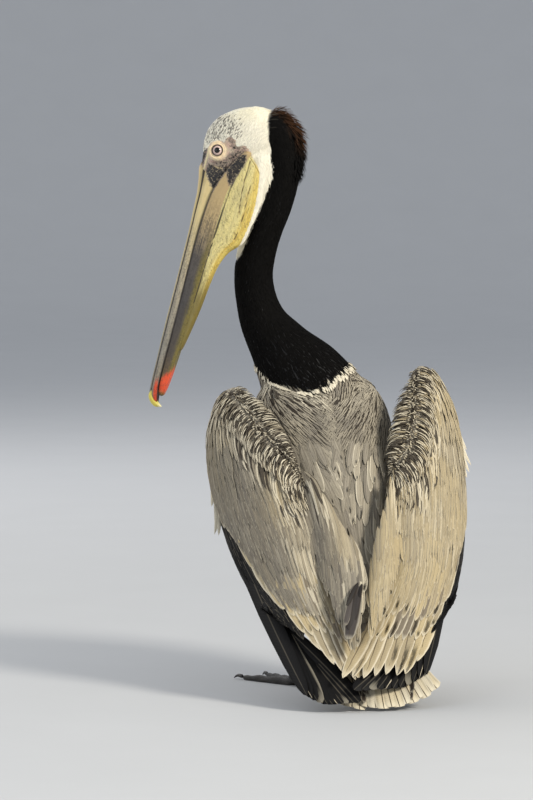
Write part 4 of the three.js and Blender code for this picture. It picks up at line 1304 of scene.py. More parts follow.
@dataclass
class Coat:
    """Feathers over the skin of head, neck, trunk and thighs.

    Attributes:
        form: The bird's body.
        marks: Its colours.
        skin: Surface that the feathers lie on.
        rng: Source of unevenness.
    """

    form: Form
    marks: Markings
    skin: Surface
    rng: np.random.Generator

    def bed(
        self,
        tract: Tract,
        lie: Callable[[Array, Array], Array],
        length: float,
        width: float,
        lift: tuple[float, float, float],
        thick: float = 0.5,
        twist: float = 0.0,
        reach: float = 5.0,
    ) -> Bed:
        """Lays the feathers of a tract on the skin.

        Args:
            tract: Where they grow.
            lie: Direction they lie in, from their points and the direction along the body.
            length: Mean length.
            width: Mean width.
            lift: Height of root, middle and tip over the skin.
            thick: Thickness.
            twist: Mean turn about their own length, in degrees.
            reach: Distance of the skin from the swept body beyond which none grows.

        Returns:
            The bed.
        """
        shares, degrees = tract.places(self.rng)
        spots, _, along = tract.body.on(shares, degrees)
        _, _, gap = self.skin.nearest(spots)
        good = gap < reach
        shares, degrees, spots, along = shares[good], degrees[good], spots[good], along[good]
        count = len(spots)
        vary = self.rng.uniform(0.8, 1.2, (3, count))
        root, middle, tip, rise, fall = self.skin.lay(spots, lie(spots, along), length * vary[0], lift)
        tone, mark = self.marks.read(root)
        tone = tone * self.rng.uniform(0.9, 1.1, (count, 1))
        patch = patch_round(degrees, shares)
        turn = twist * self.rng.uniform(0.4, 1.6, count) * np.sign(self.rng.uniform(-1, 1, count))
        return Bed(root, middle, tip, rise, fall, width * vary[1], thick * vary[2], tone, mark, patch, turn)

    def head(self) -> Growth:
        """Short fine feathers of the head, lying back from the bill, off the bare face."""
        tract = Tract(self.form.skull, 1.45, 1.5, (0.03, 0.97), jitter=0.45)
        bed = self.bed(tract, lambda p, a: self._ruffled(-a, p, 0.25), 6.0, 1.35, (-0.3, 0.5, 0.7), 0.4)
        white = self.marks.whiteness(bed.root)
        inside = (white > 0.4) & (self.marks.whiteness(bed.tip) > 0.5)
        bed = bed.picked((self.marks.bareness(bed.root) < 0.5) & inside)
        face = step(to_head(bed.root)[:, 0], -40, 0)
        border = step(self.marks.whiteness(bed.root - 4 * AHEAD), 0.9, 0.3)
        size = ((1 - 0.4 * face) * (1 - 0.4 * border))[:, None]
        bed.tip = bed.root + (bed.tip - bed.root) * size
        bed.middle = bed.root + (bed.middle - bed.root) * size
        return grow(TUFT, bed, self.rng)

    def throat(self) -> Growth:
        """White feathers of the throat, between pouch and neck."""
        tract = Tract(self.form.throat, 1.9, 1.7, (0.02, 0.995), jitter=0.45)
        lift = (-0.3, 0.5, 0.7)
        bed = self.bed(tract, lambda p, a: self._ruffled(a - 0.3 * CROWN, p, 0.2), 7.0, 1.6, lift, 0.4)
        white = self.marks.whiteness(bed.root) > 0.4
        return grow(TUFT, bed.picked(white & (self.marks.bareness(bed.root) < 0.5)), self.rng)

    def _ruffled(self, lie: Array, points: Array, amount: float) -> Array:
        """Directions bent by soft noise."""
        bend = table(*(cloud(points, 14.0, seed) for seed in (11.0, 12.0, 13.0)))
        return unit(lie + bend * amount)

    def neck(self) -> Growth:
        """Velvety dark feathers of the neck, with the white stripe down its front."""
        tract = Tract(self.form.neck, 3.4, 2.5, (0.05, 0.985), jitter=0.4)
        bed = self.bed(tract, lambda p, a: self._ruffled(-a, p, 0.18), 12.0, 2.5, (-0.4, 0.8, 1.0), 0.6)
        head = to_head(bed.root)
        on_face = (self.marks.bareness(bed.root) > 0.4) & (head[:, 1] > -68)
        line = self.marks.collar_height(bed.root, self.form.neck.find(bed.root)[1])
        crossing = (self.marks.whiteness(bed.root) > 0.02) & (self.marks.whiteness(bed.tip) < 0.5)
        bed.tone[crossing] = NECK_DARK
        bed.mark[crossing, 1:] = 0.0
        over_white = crossing & (self.marks.whiteness(bed.root) > 0.8)
        return grow(TUFT, bed.picked(~on_face & ~over_white & (bed.root[:, 2] > line + 3)), self.rng)

    def nape(self) -> Growth:
        """Ragged crest down the nape."""
        tract = Tract(self.form.neck, 3.0, 2.2, (0.735, 0.985), (-52, 52), jitter=0.5)
        shares, degrees = tract.places(self.rng)
        root, normal, along = tract.body.on(shares, degrees, -2.5)
        count = len(root)
        middle_share = (shares - tract.span[0]) / (tract.span[1] - tract.span[0])
        strong = np.cos(np.radians(degrees * 1.5)) * (0.55 + 0.45 * np.sin(math.pi * middle_share))
        length = (9 + 8 * strong) * self.rng.uniform(0.75, 1.25, count)
        lift = (0.25 + 0.42 * strong * self.rng.uniform(0.6, 1.2, count))[:, None]
        lie = unit(-along + normal * lift + 0.12 * self.rng.standard_normal((count, 3)))
        tip = root + lie * length[:, None]
        middle = root + lie * length[:, None] * 0.5 + normal * 0.8
        tone, mark = self.marks.read(root)
        warm = np.clip(strong * self.rng.uniform(0.1, 1.0, count), 0, 1)
        tone = mixed(tone, CHESTNUT, warm * step(root[:, 2], 694, 732))
        dark = self.marks.whiteness(root) < 0.5
        width = 2.2 * self.rng.uniform(0.7, 1.2, count)
        patch = table(degrees / 360 + 0.5, shares)
        bed = Bed(root, middle, tip, normal, normal, width, 0.7, tone, mark, patch, 0.0)
        return grow(TUFT, bed.picked(dark), self.rng)

    def _inward(self, points: Array, along: Array, near: float, far: float) -> Array:
        """Directions that run down the back and in to its midline."""
        pull = near + (far - near) * step(points[:, 2], 400, 250)
        middle = np.interp(points[:, 2], (250, 400), (-2, 6))
        inward = -np.tanh((points[:, 0] - middle) / 9.0)
        return unit(along + table(inward * pull, 0.0, 0.0))

    def collar(self) -> Growth:
        """Narrow streaked feathers at the foot of the neck."""
        tract = Tract(self.form.neck, 4.2, 3.6, (0.0, 0.34), jitter=0.3)
        lift = (-0.8, 1.0, 1.6)
        bed = self.bed(tract, lambda p, a: self._inward(p, -a, 0.75, 0.75), 17.0, 4.0, lift, 0.6, 8)
        line = self.marks.collar_height(bed.root, self.form.neck.find(bed.root)[1])
        return grow(LANCE, bed.picked(bed.root[:, 2] < line + 2), self.rng)

    def ring(self) -> Growth:
        """Broken pale ring round the foot of the dark neck."""
        tract = Tract(self.form.neck, 2.4, 2.2, (0.0, 0.36), (-130, 130), jitter=0.5)
        bed = self.bed(tract, lambda p, a: self._inward(p, -a, 0.3, 0.3), 8.0, 3.4, (1.0, 3.2, 3.0), 0.7, 10)
        over = bed.root[:, 2] - self.marks.collar_height(bed.root)
        deep = 4.0 + 7.0 * step(bed.root @ LEFT, 44, 4)
        patchy = cloud(bed.root, 5.0, 15.0) > -0.3
        bed.tone = PALE_TIP * self.rng.uniform(0.75, 1.05, (len(bed), 1))
        bed.mark = bed.mark * [0.15, 0.0, 0.0, 1.0]
        return grow(TUFT, bed.picked((over < -1.0) & (over > -1.0 - deep) & patchy), self.rng)

    def mantle(self) -> Growth:
        """Streaked feathers of the upper back, running in to the midline."""
        tract = Tract(self.form.torso, 8.0, 3.3, (0.02, 0.62), (-96, 96), 0.5)
        bed = self.bed(tract, lambda p, a: self._inward(p, a, 0.95, 0.3), 30.0, 4.0, (-1.0, 1.4, 2.0), 0.5, 5)
        share, _, _ = self.form.torso.find(bed.root)
        black = (self.rng.uniform(0, 1, len(bed)) < 0.3 * step(share, 0.3, 0.12)).astype(float)
        bed.tone = mixed(bed.tone, EDGE_DARK, black * 0.9)
        bed.tone = mixed(bed.tone * 0.9, PALE_TIP, (1 - black) * 0.26 * step(share, 0.3, 0.1))
        return grow(LANCE, bed, self.rng)

    def breast(self) -> Growth:
        """Dark feathers of breast, belly and flanks."""
        tract = Tract(self.form.torso, 8.0, 6.6, (0.0, 0.97), (94, 266), 0.3)
        bed = self.bed(tract, lambda p, a: self._ruffled(a, p, 0.2), 27.0, 8.6, (-1.2, 1.2, 2.0), 0.8, 7)
        return grow(LANCE, bed, self.rng)

    def rump(self) -> Growth:
        """Grey feathers of the lower back, mostly under the wings."""
        tract = Tract(self.form.torso, 9.0, 7.0, (0.58, 0.97), (-96, 96), 0.3)
        bed = self.bed(tract, lambda _, a: a, 30.0, 9.0, (-1.0, 1.0, 1.6), 0.8, 6)
        return grow(LANCE, bed, self.rng)

    def scapulars(self) -> Growth:
        """Broad pale-edged feathers between the wings."""
        beds = []
        for row, share in enumerate(np.linspace(0.3, 0.76, 10)):
            for sign in (1, -1):
                reach = 58 - 26 * step(share, 0.45, 0.75)
                count = max(2, int(reach / 6.0))
                degrees = sign * (3.0 + (np.arange(count) + 0.5 * (row % 2)) * reach / count)
                degrees = degrees + self.rng.uniform(-3.0, 3.0, count)
                shares = share + self.rng.uniform(-0.016, 0.016, count)
                length = (62 + 26 * step(shares, 0.3, 0.6)) * self.rng.uniform(0.8, 1.2, count)
                spots, _, along = self.form.torso.on(shares, degrees)
                lie = self._ruffled(self._inward(spots, along, 0.5, 0.12), spots, 0.1)
                root, middle, tip, rise, fall = self.skin.lay(spots, lie, length, (-0.5, 3.2, 4.2))
                chance = self.rng.uniform(0, 1, count)
                tone = mixed(SILVER_GREY, SILVER, 0.15 + 0.6 * chance)
                # one that the skin turned outwards is folded up at its root
                outwards = np.abs(tip[:, 0]) > np.abs(root[:, 0]) + 6
                off = outwards | (np.sum((tip - root) * along, axis=1) < 0.6 * length)
                tip[off], middle[off] = root[off], root[off]
                edged = chance > 0.6
                mark = table(0.5 - 0.4 * edged, np.where(edged, 0.6, 0.16), 0.35, chance)
                patch = table(degrees / 360 + 0.5, shares)
                width = (10.5 + 4.0 * step(shares, 0.3, 0.6)) * self.rng.uniform(0.8, 1.2, count)
                turn = self.rng.uniform(-12.0, 0.0, count) * sign
                beds.append(Bed(root, middle, tip, rise, fall, width, 0.7, tone, mark, patch, turn))
        return grow(POINTED, Bed.joined(beds), self.rng)

    def thigh(self, side: Side) -> Growth:
        """Short dark feathers of a thigh."""
        tract = Tract(self.form.thighs[side], 3.6, 3.2, (0.05, 0.97), jitter=0.4)
        bed = self.bed(tract, lambda _, a: a, 11.0, 3.4, (-0.5, 0.8, 1.2), 0.6, 5)
        bed.tone = BELLY_DARK * self.rng.uniform(0.6, 1.1, (len(bed), 1))
        return grow(TUFT, bed, self.rng)


# ---- bill, pouch and eyes ----
AROUND = "around"  # attribute: 0 along the top of a swept head body to 1 along its underside
DARKNESS = "face_dark"  # attribute: how dark the bare face is mottled
BARE = "bare"  # attribute: share of bare skin
BILL_LENGTH = 3.4  # of the upper bill, in decimetres ahead of the eyes
FOLD = "fold"  # attribute: how deep a place lies in a fold or on its crest
SEAM = "seam"  # attribute: how near a place is to the seam over the pouch, along which shade is painted
IRIS = "iris"  # attribute: distance from an eye's axis, as a share of its radius


def store(bm: bmesh.types.BMesh, name: str, values: Array) -> None:
    """Stores a number for each vertex of a bmesh."""
    layer = bm.verts.layers.float.new(name)
    for vert, value in zip(bm.verts, values):
        vert[layer] = float(value)


def face_mottling(p: Paint, colour: Value, place: Value, dark: Value) -> Value:
    """Adds the dark mottling of the bare face to a colour.

    Args:
        p: Material that is being painted.
        colour: Colour under it.
        place: Place in the head's frame.
        dark: How dark it is there.

    Returns:
        The colour.
    """
    blots = p.noise(place, 17.0, 4.0, 0.7, 0.6)
    specks = p.noise(place, 62.0, 3.0, 0.6)
    depth = dark + (blots - 0.5) * 1.1 + (specks - 0.5) * 0.8
    grey = p.step(depth, 0.16, 0.46) * p.step(dark, 0.02, 0.2)
    black = p.step(depth, 0.5, 0.64) * p.step(dark, 0.05, 0.3)
    flecks = p.step(p.noise(place, 44.0, 3.0, 0.65, 0.4), 0.54, 0.64)
    colour = p.mix(grey * 0.72, colour, p.mix(flecks, shade(98, 88, 82), shade(172, 156, 134)))
    return p.mix(black * (1 - flecks * 0.72), colour, shade(20, 18, 20))


@dataclass(frozen=True)
class SkinFinish:
    """Skin: plumage colours under the feathers, and bare wrinkled skin on the face."""

    name: str = "bare_skin"

    def material(self) -> Material:
        """Paints the material."""
        p = Paint(self.name)
        place = p.attribute(HEAD_PLACE, "Vector")
        ahead, high, _ = p.split(place)
        gap = p.math("SQRT", ahead * ahead + high * high)
        bare = p.attribute(BARE, "Fac")
        dark = p.attribute(DARKNESS, "Fac")
        under = p.tint(p.attribute(TONE), 0.7 + p.noise(p.place(), 300.0) * 0.3)
        blush = p.noise(place, 14.0, 3.0, 0.6)
        pores = p.noise(place, 120.0, 3.0, 0.6)
        bare_tone = p.mix(p.step(blush, 0.4, 0.6), shade(184, 168, 146), shade(196, 166, 148))
        ring = gap + (blush - 0.5) * 0.08
        bare_tone = p.mix(p.step(ring, 0.155, 0.1), bare_tone, shade(224, 202, 166))
        bare_tone = p.tint(bare_tone, 0.8 + pores * 0.4)
        stipple = p.step(p.noise(place, 64.0, 2.0, 0.6), 0.57, 0.65) * p.step(ring, 0.1, 0.16)
        bare_tone = p.mix(stipple * 0.7, bare_tone, shade(84, 74, 70))
        face = face_mottling(p, bare_tone, place, dark)
        crest = p.attribute(FOLD, "Fac")
        face = p.mix(p.step(crest, 0.2, 0.7), face, shade(222, 208, 160))
        face = p.mix(p.step(gap, 0.088, 0.07), face, shade(40, 28, 24))
        colour = p.mix(p.step(bare + (pores - 0.5) * 0.3, 0.3, 0.6), under, face)
        wrinkle = p.noise(place, 60.0, 4.0, 0.65, 1.2)
        cells = p.cells(place, 48.0)
        bump = p.bump(wrinkle * 0.7 + cells * 0.8, 0.0006)
        return p.surface(
            {
                "Base Color": colour, "Roughness": 0.52 + pores * 0.2, "Specular IOR Level": 0.4,
                "Subsurface Weight": 0.06, "Subsurface Radius": (0.004, 0.002, 0.001), "Normal": bump,
            }
        )


class BillPart(Enum):
    """Horny parts of the bill."""

    UPPER = "upper"
    LOWER = "lower"
    NAIL = "nail"


@dataclass(frozen=True)
class HornFinish:
    """Horn of the bill, coloured along it and round it."""

    part: BillPart

    def material(self) -> Material:
        """Paints the material."""
        p = Paint(f"bill_horn_{self.part.value}")
        place = p.attribute(HEAD_PLACE, "Vector")
        ahead, _, left = p.split(place)
        around = p.attribute(AROUND, "Fac")
        dark = p.attribute(DARKNESS, "Fac")
        # streaks drawn out along the bill
        long = p.joined(ahead * 0.9, around * 7.0, left * 1.4)
        streak = p.noise(long, 5.0, 5.0, 0.62, 0.3)
        fine = p.noise(p.joined(ahead * 3.2, around * 26.0, left * 5.0), 6.0, 4.0, 0.6)
        scuff = p.noise(place, 34.0, 4.0, 0.65)
        colour = {
            BillPart.UPPER: self._upper,
            BillPart.LOWER: self._lower,
            BillPart.NAIL: self._nail,
        }[self.part](p, ahead, around, streak, scuff)
        colour = p.tint(colour, 0.76 + fine * 0.28 + streak * 0.2)
        colour = face_mottling(p, colour, place, dark)
        bump = p.bump(fine * 0.8 + scuff * 0.5, 0.0005)
        return p.surface(
            {
                "Base Color": colour, "Roughness": 0.34 + scuff * 0.24, "Specular IOR Level": 0.45,
                "Subsurface Weight": 0.04, "Subsurface Radius": (0.003, 0.002, 0.001), "Normal": bump,
            }
        )

    def _upper(self, p: Paint, ahead: Value, around: Value, streak: Value, scuff: Value) -> Value:
        """Colours of the upper bill."""
        side = p.ramp(
            ahead / BILL_LENGTH + (streak - 0.5) * 0.12,
            (
                (0.0, shade(200, 178, 124)), (0.25, shade(208, 188, 134)), (0.4, shade(188, 172, 134)),
                (0.55, shade(164, 153, 130)), (0.8, shade(140, 134, 120)), (0.9, shade(146, 134, 114)),
                (1.0, shade(130, 120, 102)),
            ),
        )
        blot = p.step(streak + scuff * 0.7, 0.76, 0.98) * p.step(ahead, 0.7, 1.5)
        side = p.mix(blot * 0.6, side, shade(76, 71, 66))
        ridge = p.ramp(
            ahead / BILL_LENGTH,
            (
                (0.0, shade(214, 186, 136)), (0.3, shade(212, 190, 138)), (0.7, shade(206, 188, 134)),
                (1.0, shade(92, 92, 92)),
            ),
        )
        colour = p.mix(p.step(around, 0.2, 0.12), side, ridge)
        red = p.step(ahead + (streak - 0.5) * 0.3, 3.08, 3.18) * p.step(around, 0.46, 0.56)
        colour = p.mix(red, colour, p.mix(p.step(scuff, 0.5, 0.7), shade(212, 74, 36), shade(120, 48, 30)))
        # painted shade in the groove along the upper bill
        groove = p.step(abs(around - 0.245), 0.042, 0.016)
        colour = p.mix(groove * 0.95, colour, shade(30, 24, 20))
        # painted shade on the underside of the upper bill, along its cutting edge
        edge = p.step(around, 0.63, 0.7)
        return p.mix(edge * 0.95, colour, shade(26, 21, 18))

    def _lower(self, p: Paint, ahead: Value, around: Value, streak: Value, scuff: Value) -> Value:
        """Colours of the lower bill."""
        side = p.ramp(
            ahead / BILL_LENGTH + (streak - 0.5) * 0.14,
            (
                (0.0, shade(172, 148, 104)), (0.24, shade(172, 150, 108)), (0.33, shade(138, 122, 94)),
                (0.41, shade(80, 74, 68)), (0.6, shade(64, 60, 58)), (0.8, shade(74, 66, 56)),
                (0.88, shade(100, 82, 54)), (1.0, shade(190, 164, 96)),
            ),
        )
        blot = p.step(streak * 0.7 + scuff * 0.6, 0.56, 0.78) * p.step(ahead, 0.4, 1.1)
        side = p.mix(blot * 0.7, side, shade(48, 43, 40))
        olive = p.mix(p.step(scuff, 0.45, 0.65), shade(108, 96, 38), shade(84, 75, 32))
        low = p.step(around + (streak - 0.5) * 0.3, 0.52, 0.68) * p.step(ahead, 0.8, 1.6)
        colour = p.mix(low, side, olive)
        start = ahead + around * 0.3 + (streak - 0.5) * 0.2
        red = p.step(start, 3.12, 3.22) * p.step(ahead, 3.3, 3.2)
        colour = p.mix(red, colour, p.mix(p.step(scuff, 0.5, 0.72), shade(216, 78, 38), shade(150, 52, 28)))
        # painted shade on the top of the lower bill, under the upper bill's edge
        top = p.step(around, 0.32, 0.22)
        colour = p.mix(top * 0.95, colour, shade(28, 22, 18))
        # painted shade along the seam where the pouch meets the lower bill
        return p.mix(p.step(p.attribute(SEAM, "Fac"), 0.1, 0.6) * 0.92, colour, shade(30, 25, 20))

    def _nail(self, p: Paint, ahead: Value, _around: Value, streak: Value, _scuff: Value) -> Value:
        """Colours of the nail."""
        high = p.split(p.attribute(HEAD_PLACE, "Vector"))[1]
        yellow = p.mix(p.step(high, -0.3, -0.37), shade(206, 190, 84), shade(228, 220, 176))
        base = p.step(ahead + (streak - 0.5) * 0.08, 3.31, 3.24)
        return p.mix(base, yellow, shade(62, 66, 74))


@dataclass(frozen=True)
class PouchFinish:
    """Thin wrinkled skin of the throat pouch."""

    name: str = "pouch_skin"

    def material(self) -> Material:
        """Paints the material."""
        p = Paint(self.name)
        place = p.attribute(HEAD_PLACE, "Vector")
        ahead, high, left = p.split(place)
        around = p.attribute(AROUND, "Fac")
        fold, seam = p.attribute(FOLD, "Fac"), p.attribute(SEAM, "Fac")
        dark = p.attribute(DARKNESS, "Fac")
        slant = p.joined(ahead * 1.0 + high * 1.8, high * 0.8 - ahead * 0.5, left * 0.6)
        wrinkle = p.noise(slant, 24.0, 4.0, 0.62, 0.9)
        mesh = p.noise(place, 70.0, 3.0, 0.6)
        stain = p.noise(p.joined(ahead * 0.6, around * 4.0, left), 5.0, 4.0, 0.6)
        pale = p.mix(p.step(stain, 0.36, 0.66), shade(212, 198, 134), shade(186, 174, 122))
        gold = p.mix(p.step(stain, 0.4, 0.6), shade(214, 192, 104), shade(196, 168, 82))
        colour = p.mix(p.step(around + (stain - 0.5) * 0.3, 0.5, 0.7), pale, gold)
        colour = p.mix(p.step(ahead + (stain - 0.5) * 0.5, 1.4, 2.0) * 0.9, colour, shade(102, 90, 38))
        # painted shade in the wrinkles: darker in their hollows and creases, lighter on their crests,
        # following the bump
        colour = p.tint(colour, 0.66 + wrinkle * 0.4 + mesh * 0.24)
        crease_shade = p.step(wrinkle + (mesh - 0.5) * 0.4, 0.46, 0.34) * 0.6
        colour = p.mix(crease_shade, colour, shade(120, 106, 62))
        # painted shade in the sunken folds of the pouch
        colour = p.mix(p.step(fold, 0.4, 0.8) * 0.85, colour, shade(60, 46, 26))
        # painted shade along the seam where the pouch meets the lower bill
        colour = p.mix(p.step(seam, 0.1, 0.6) * 0.92, colour, shade(30, 25, 20))
        colour = face_mottling(p, colour, place, dark)
        bump = p.bump(wrinkle + mesh * 0.4, 0.0011)
        return p.surface(
            {
                "Base Color": colour, "Roughness": 0.46 + mesh * 0.2, "Specular IOR Level": 0.4,
                "Subsurface Weight": 0.12, "Subsurface Radius": (0.006, 0.004, 0.0015), "Normal": bump,
            }
        )


@dataclass(frozen=True)
class EyeFinish:
    """Pale iris round a black pupil, under a clear coat."""

    name: str = "eye"

    def material(self) -> Material:
        """Paints the material."""
        p = Paint(self.name)
        gap = p.attribute(IRIS, "Fac")
        place = p.attribute(HEAD_PLACE, "Vector")
        ahead, high, _ = p.split(place)
        turn = p.math("ARCTAN2", high, ahead)
        fibres = p.noise(p.joined(turn * 3.0, gap * 1.4), 7.0, 3.0, 0.6)
        iris = p.mix(fibres, shade(222, 198, 188), shade(186, 156, 144))
        colour = p.mix(p.step(gap, 0.7, 0.74), iris, shade(36, 25, 21))
        colour = p.mix(p.step(gap, 0.43, 0.405), colour, shade(6, 5, 5))
        return p.surface(
            {
                "Base Color": colour, "Roughness": 0.3, "Specular IOR Level": 0.3, "Coat Weight": 0.5,
                "Coat Roughness": 0.03, "Coat IOR": 1.34,
            }
        )


UPPER_OUTLINE = (
    (0, 1), (0.3, 0.9), (0.42, 0.42), (0.8, 0.3), (1, -0.25), (0.94, -1), (0.5, -0.86), (0, -0.8),
)
LOWER_OUTLINE = ((0, 0.8), (0.9, 1), (1, 0.45), (0.96, -0.4), (0.8, -1), (0, -0.9))
POUCH_OUTLINE = ((0, 1), (0.9, 0.95), (1, 0.3), (0.9, -0.3), (0.62, -0.8), (0.22, -1))


@dataclass(frozen=True)
class Bill:
    """Upper and lower bill, hooked nail and folded pouch.

    Attributes:
        marks: Colours of the bare face.
        upper: Upper bill.
        lower: Lower bill.
        pouch: Throat pouch.
        rear: Heights down the pouch, and places ahead of its rear edge there.
        folds: Lines of the pouch's folds, each with its half-width.
        seam: Line of the seam over the pouch, with half-widths, along which shade is painted dark.
    """

    marks: Markings
    upper: HeadBody = HeadBody(
        (
            (10, 16, -16, 13), (26, 19, -19, 17.5), (40, 15.3, -14.6, 16.6), (60, 10.8, -11.2, 15.3),
            (85, 7.8, -10, 13.8), (113, 4.4, -10.4, 12.8), (164, 0, -14, 11.9), (208, -3.6, -17.6, 12.1),
            (252, -7.4, -20.8, 13.2), (290, -11.2, -23.6, 14.2), (316, -13.8, -25.8, 13),
            (332, -16.4, -29, 9), (340, -22, -31, 5.5),
        ),
        UPPER_OUTLINE,
    )
    lower: HeadBody = HeadBody(
        (
            (-16, -36, -42, 14), (-8, -33, -44, 24), (8, -24.5, -41, 23.6), (24, -18, -36, 22.6),
            (52, -10.4, -32, 20.4), (80, -9, -31.6, 18.3), (112, -9.8, -32.2, 16.3),
            (150, -12.4, -33, 14.6), (200, -16.4, -34.6, 13.5), (245, -20, -36, 13.2),
            (290, -23.4, -36.6, 13.1), (316, -26, -36, 10.6), (330, -28.4, -34.6, 6),
        ),
        LOWER_OUTLINE,
    )
    pouch: HeadBody = HeadBody(
        (
            (-14, -40, -50, 12), (-6, -36, -58, 21), (8, -30, -66.5, 22.5), (30, -26, -70.5, 20.5),
            (58, -24, -72, 18.4), (88, -24, -70, 16), (108, -25, -65.5, 14.5), (122, -26, -55, 13.4),
            (142, -27, -48, 12.6), (168, -28, -45.4, 11.8), (205, -30, -44.2, 11), (240, -32, -41.4, 10),
            (266, -33.5, -38.6, 8),
        ),
        POUCH_OUTLINE,
    )
    rear: tuple = ((-66, -62.5, -54.5, -45, -38), (24, 11.4, 3.5, -4, -12))
    folds: tuple = (
        (((0, -46), (12, -46.5), (26, -47), (45, -49), (68, -53)), 1.1),
        (((30, -56), (50, -58), (68, -59.5), (84, -60)), 0.9),
        (((-4, -45), (3.5, -54.5), (11.4, -62.5), (24, -66)), 0.6),
        (((36, -62), (60, -63), (88, -61), (104, -58)), 0.7),
    )

    seam: tuple = (
        (12, -37, 1.4), (22, -35.5, 1.7), (31, -33.5, 1.7), (41, -32, 1.6), (52, -31.6, 1.4),
        (64, -31.4, 1.3), (80, -31.6, 1.2), (112, -32.2, 1.0), (150, -33, 0.9), (200, -34.6, 0.8),
    )

    def build(self, shop: Workshop) -> None:
        """Makes every piece of the bill."""
        for name, bm, part, node in (
            ("bill_upper_horn", self._upper(), BillPart.UPPER, "bill_upper"),
            ("bill_nail", self._nail(), BillPart.NAIL, "bill_upper"),
            ("bill_lower_horn", self._lower(), BillPart.LOWER, "bill_lower"),
        ):
            shop.from_bmesh(name, bm, HornFinish(part).material(), "bill_horn", [node])
        shop.from_bmesh("throat_pouch", self._pouch(), PouchFinish().material(), "pouch_skin", ["pouch"])

    def _swept(self, body: HeadBody, sides: int, rows: int) -> tuple[bmesh.types.BMesh, Array]:
        """A swept body, and its vertices in the head's frame."""
        bm = bmesh.new()
        body.shell(bm, sides, rows)
        return bm, to_head(places_of(bm.verts))

    def _dress(self, bm: bmesh.types.BMesh, body: HeadBody) -> None:
        """Stores how far round the section each vertex lies, and how dark the face is there."""
        points = places_of(bm.verts)
        head = to_head(points)
        turns = np.linspace(0, 0.5, 60)
        outline = body.section(turns)
        ahead, *sizes = body.profile(np.linspace(0, 1, 300))
        top, low, wide = (np.interp(head[:, 0], ahead, size) for size in sizes)
        y = (head[:, 1] - (top + low) / 2) / np.maximum(1, (top - low) / 2)
        x = np.abs(head[:, 2]) / np.maximum(1, wide)
        gap = (x[:, None] - outline[None, :, 0]) ** 2 + (y[:, None] - outline[None, :, 1]) ** 2
        store(bm, AROUND, turns[gap.argmin(axis=1)] * 2)
        store(bm, DARKNESS, self.marks.mottle(points) * (head[:, 0] < 56))
        store(bm, SEAM, near_line(head[:, :2], self.seam))

    def _upper(self) -> bmesh.types.BMesh:
        """Upper bill: ridge, groove, side plate and cutting edge."""
        bm, head = self._swept(self.upper, 64, 150)
        flake = cloud(head * [0.25, 1.0, 1.0], 3.0, 21.0) * 0.12 + cloud(head * [0.1, 1, 1], 1.2, 22.0) * 0.05
        middle = np.interp(head[:, 0], (0, 340), (0, -26))
        out = unit(table(0.0, head[:, 1] - middle, head[:, 2]))
        nostril = np.hypot((head[:, 0] - 44) / 5.0, (head[:, 1] - 4.6) / 1.3) < 1
        flake[nostril & (np.abs(head[:, 2]) > 3)] = -1.6
        place(bm.verts, from_head(head + out * flake[:, None]))
        self._dress(bm, self.upper)
        return bm

    def _lower(self) -> bmesh.types.BMesh:
        """Lower bill, with shallow grooves along its sides."""
        bm, head = self._swept(self.lower, 56, 150)
        flake = cloud(head * [0.25, 1.0, 1.0], 3.0, 23.0) * 0.14
        head[:, 2] += np.sign(head[:, 2]) * flake
        place(bm.verts, from_head(head))
        self._dress(bm, self.lower)
        return bm

    def _nail(self) -> bmesh.types.BMesh:
        """Hooked nail over the tip."""
        rows = ((322, -19, 6.5, 3), (334, -21, 7, 4.5), (341, -28, 5.5, 4), (343, -37.5, 2, 1.6))
        more = 0.25
        stations = [
            [*from_head(np.array([ahead, high, 0.0])), wide + more, deep + more, deep + more]
            for ahead, high, wide, deep in rows
        ]
        loft = Loft(np.array(stations), facing(CROWN + 0.6 * AHEAD), 0.3)
        bm = bmesh.new()
        loft.shell(bm, 28, 30)
        store(bm, AROUND, np.zeros(len(bm.verts)))
        store(bm, DARKNESS, np.zeros(len(bm.verts)))
        return bm

    def _pouch(self) -> bmesh.types.BMesh:
        """Pouch with long folds and fine slanting wrinkles."""
        bm, head = self._swept(self.pouch, 88, 260)
        flat = head[:, :2]
        fold = np.zeros(len(head))
        for line, width in self.folds:
            stroke = tuple((*spot, width * 1.7) for spot in line)
            fold = np.maximum(fold, near_line(flat, stroke))
        slant = head @ np.array([[1.0, 0.2, 0], [1.6, -0.6, 0], [0.3, 0.1, 1.0]])
        wrinkle = cloud(slant * [1.0, 0.35, 0.5], 3.0, 24.0) * 0.34
        wrinkle = wrinkle + cloud(slant * [1.0, 0.3, 0.5], 1.3, 25.0) * 0.16
        side = np.clip(np.abs(head[:, 2]) / 8, 0, 1)
        out = table(0.0, -0.35 * (head[:, 1] < -45), np.sign(head[:, 2]))
        head = head + out * ((wrinkle - 1.5 * fold) * side)[:, None]
        tucked = step(np.interp(head[:, 1], *self.rear) - head[:, 0], 0.5, 3.5) * (head[:, 1] > -67)
        head[:, 2] *= 1 - 0.45 * tucked
        place(bm.verts, from_head(head))
        self._dress(bm, self.pouch)
        store(bm, FOLD, fold)
        return bm


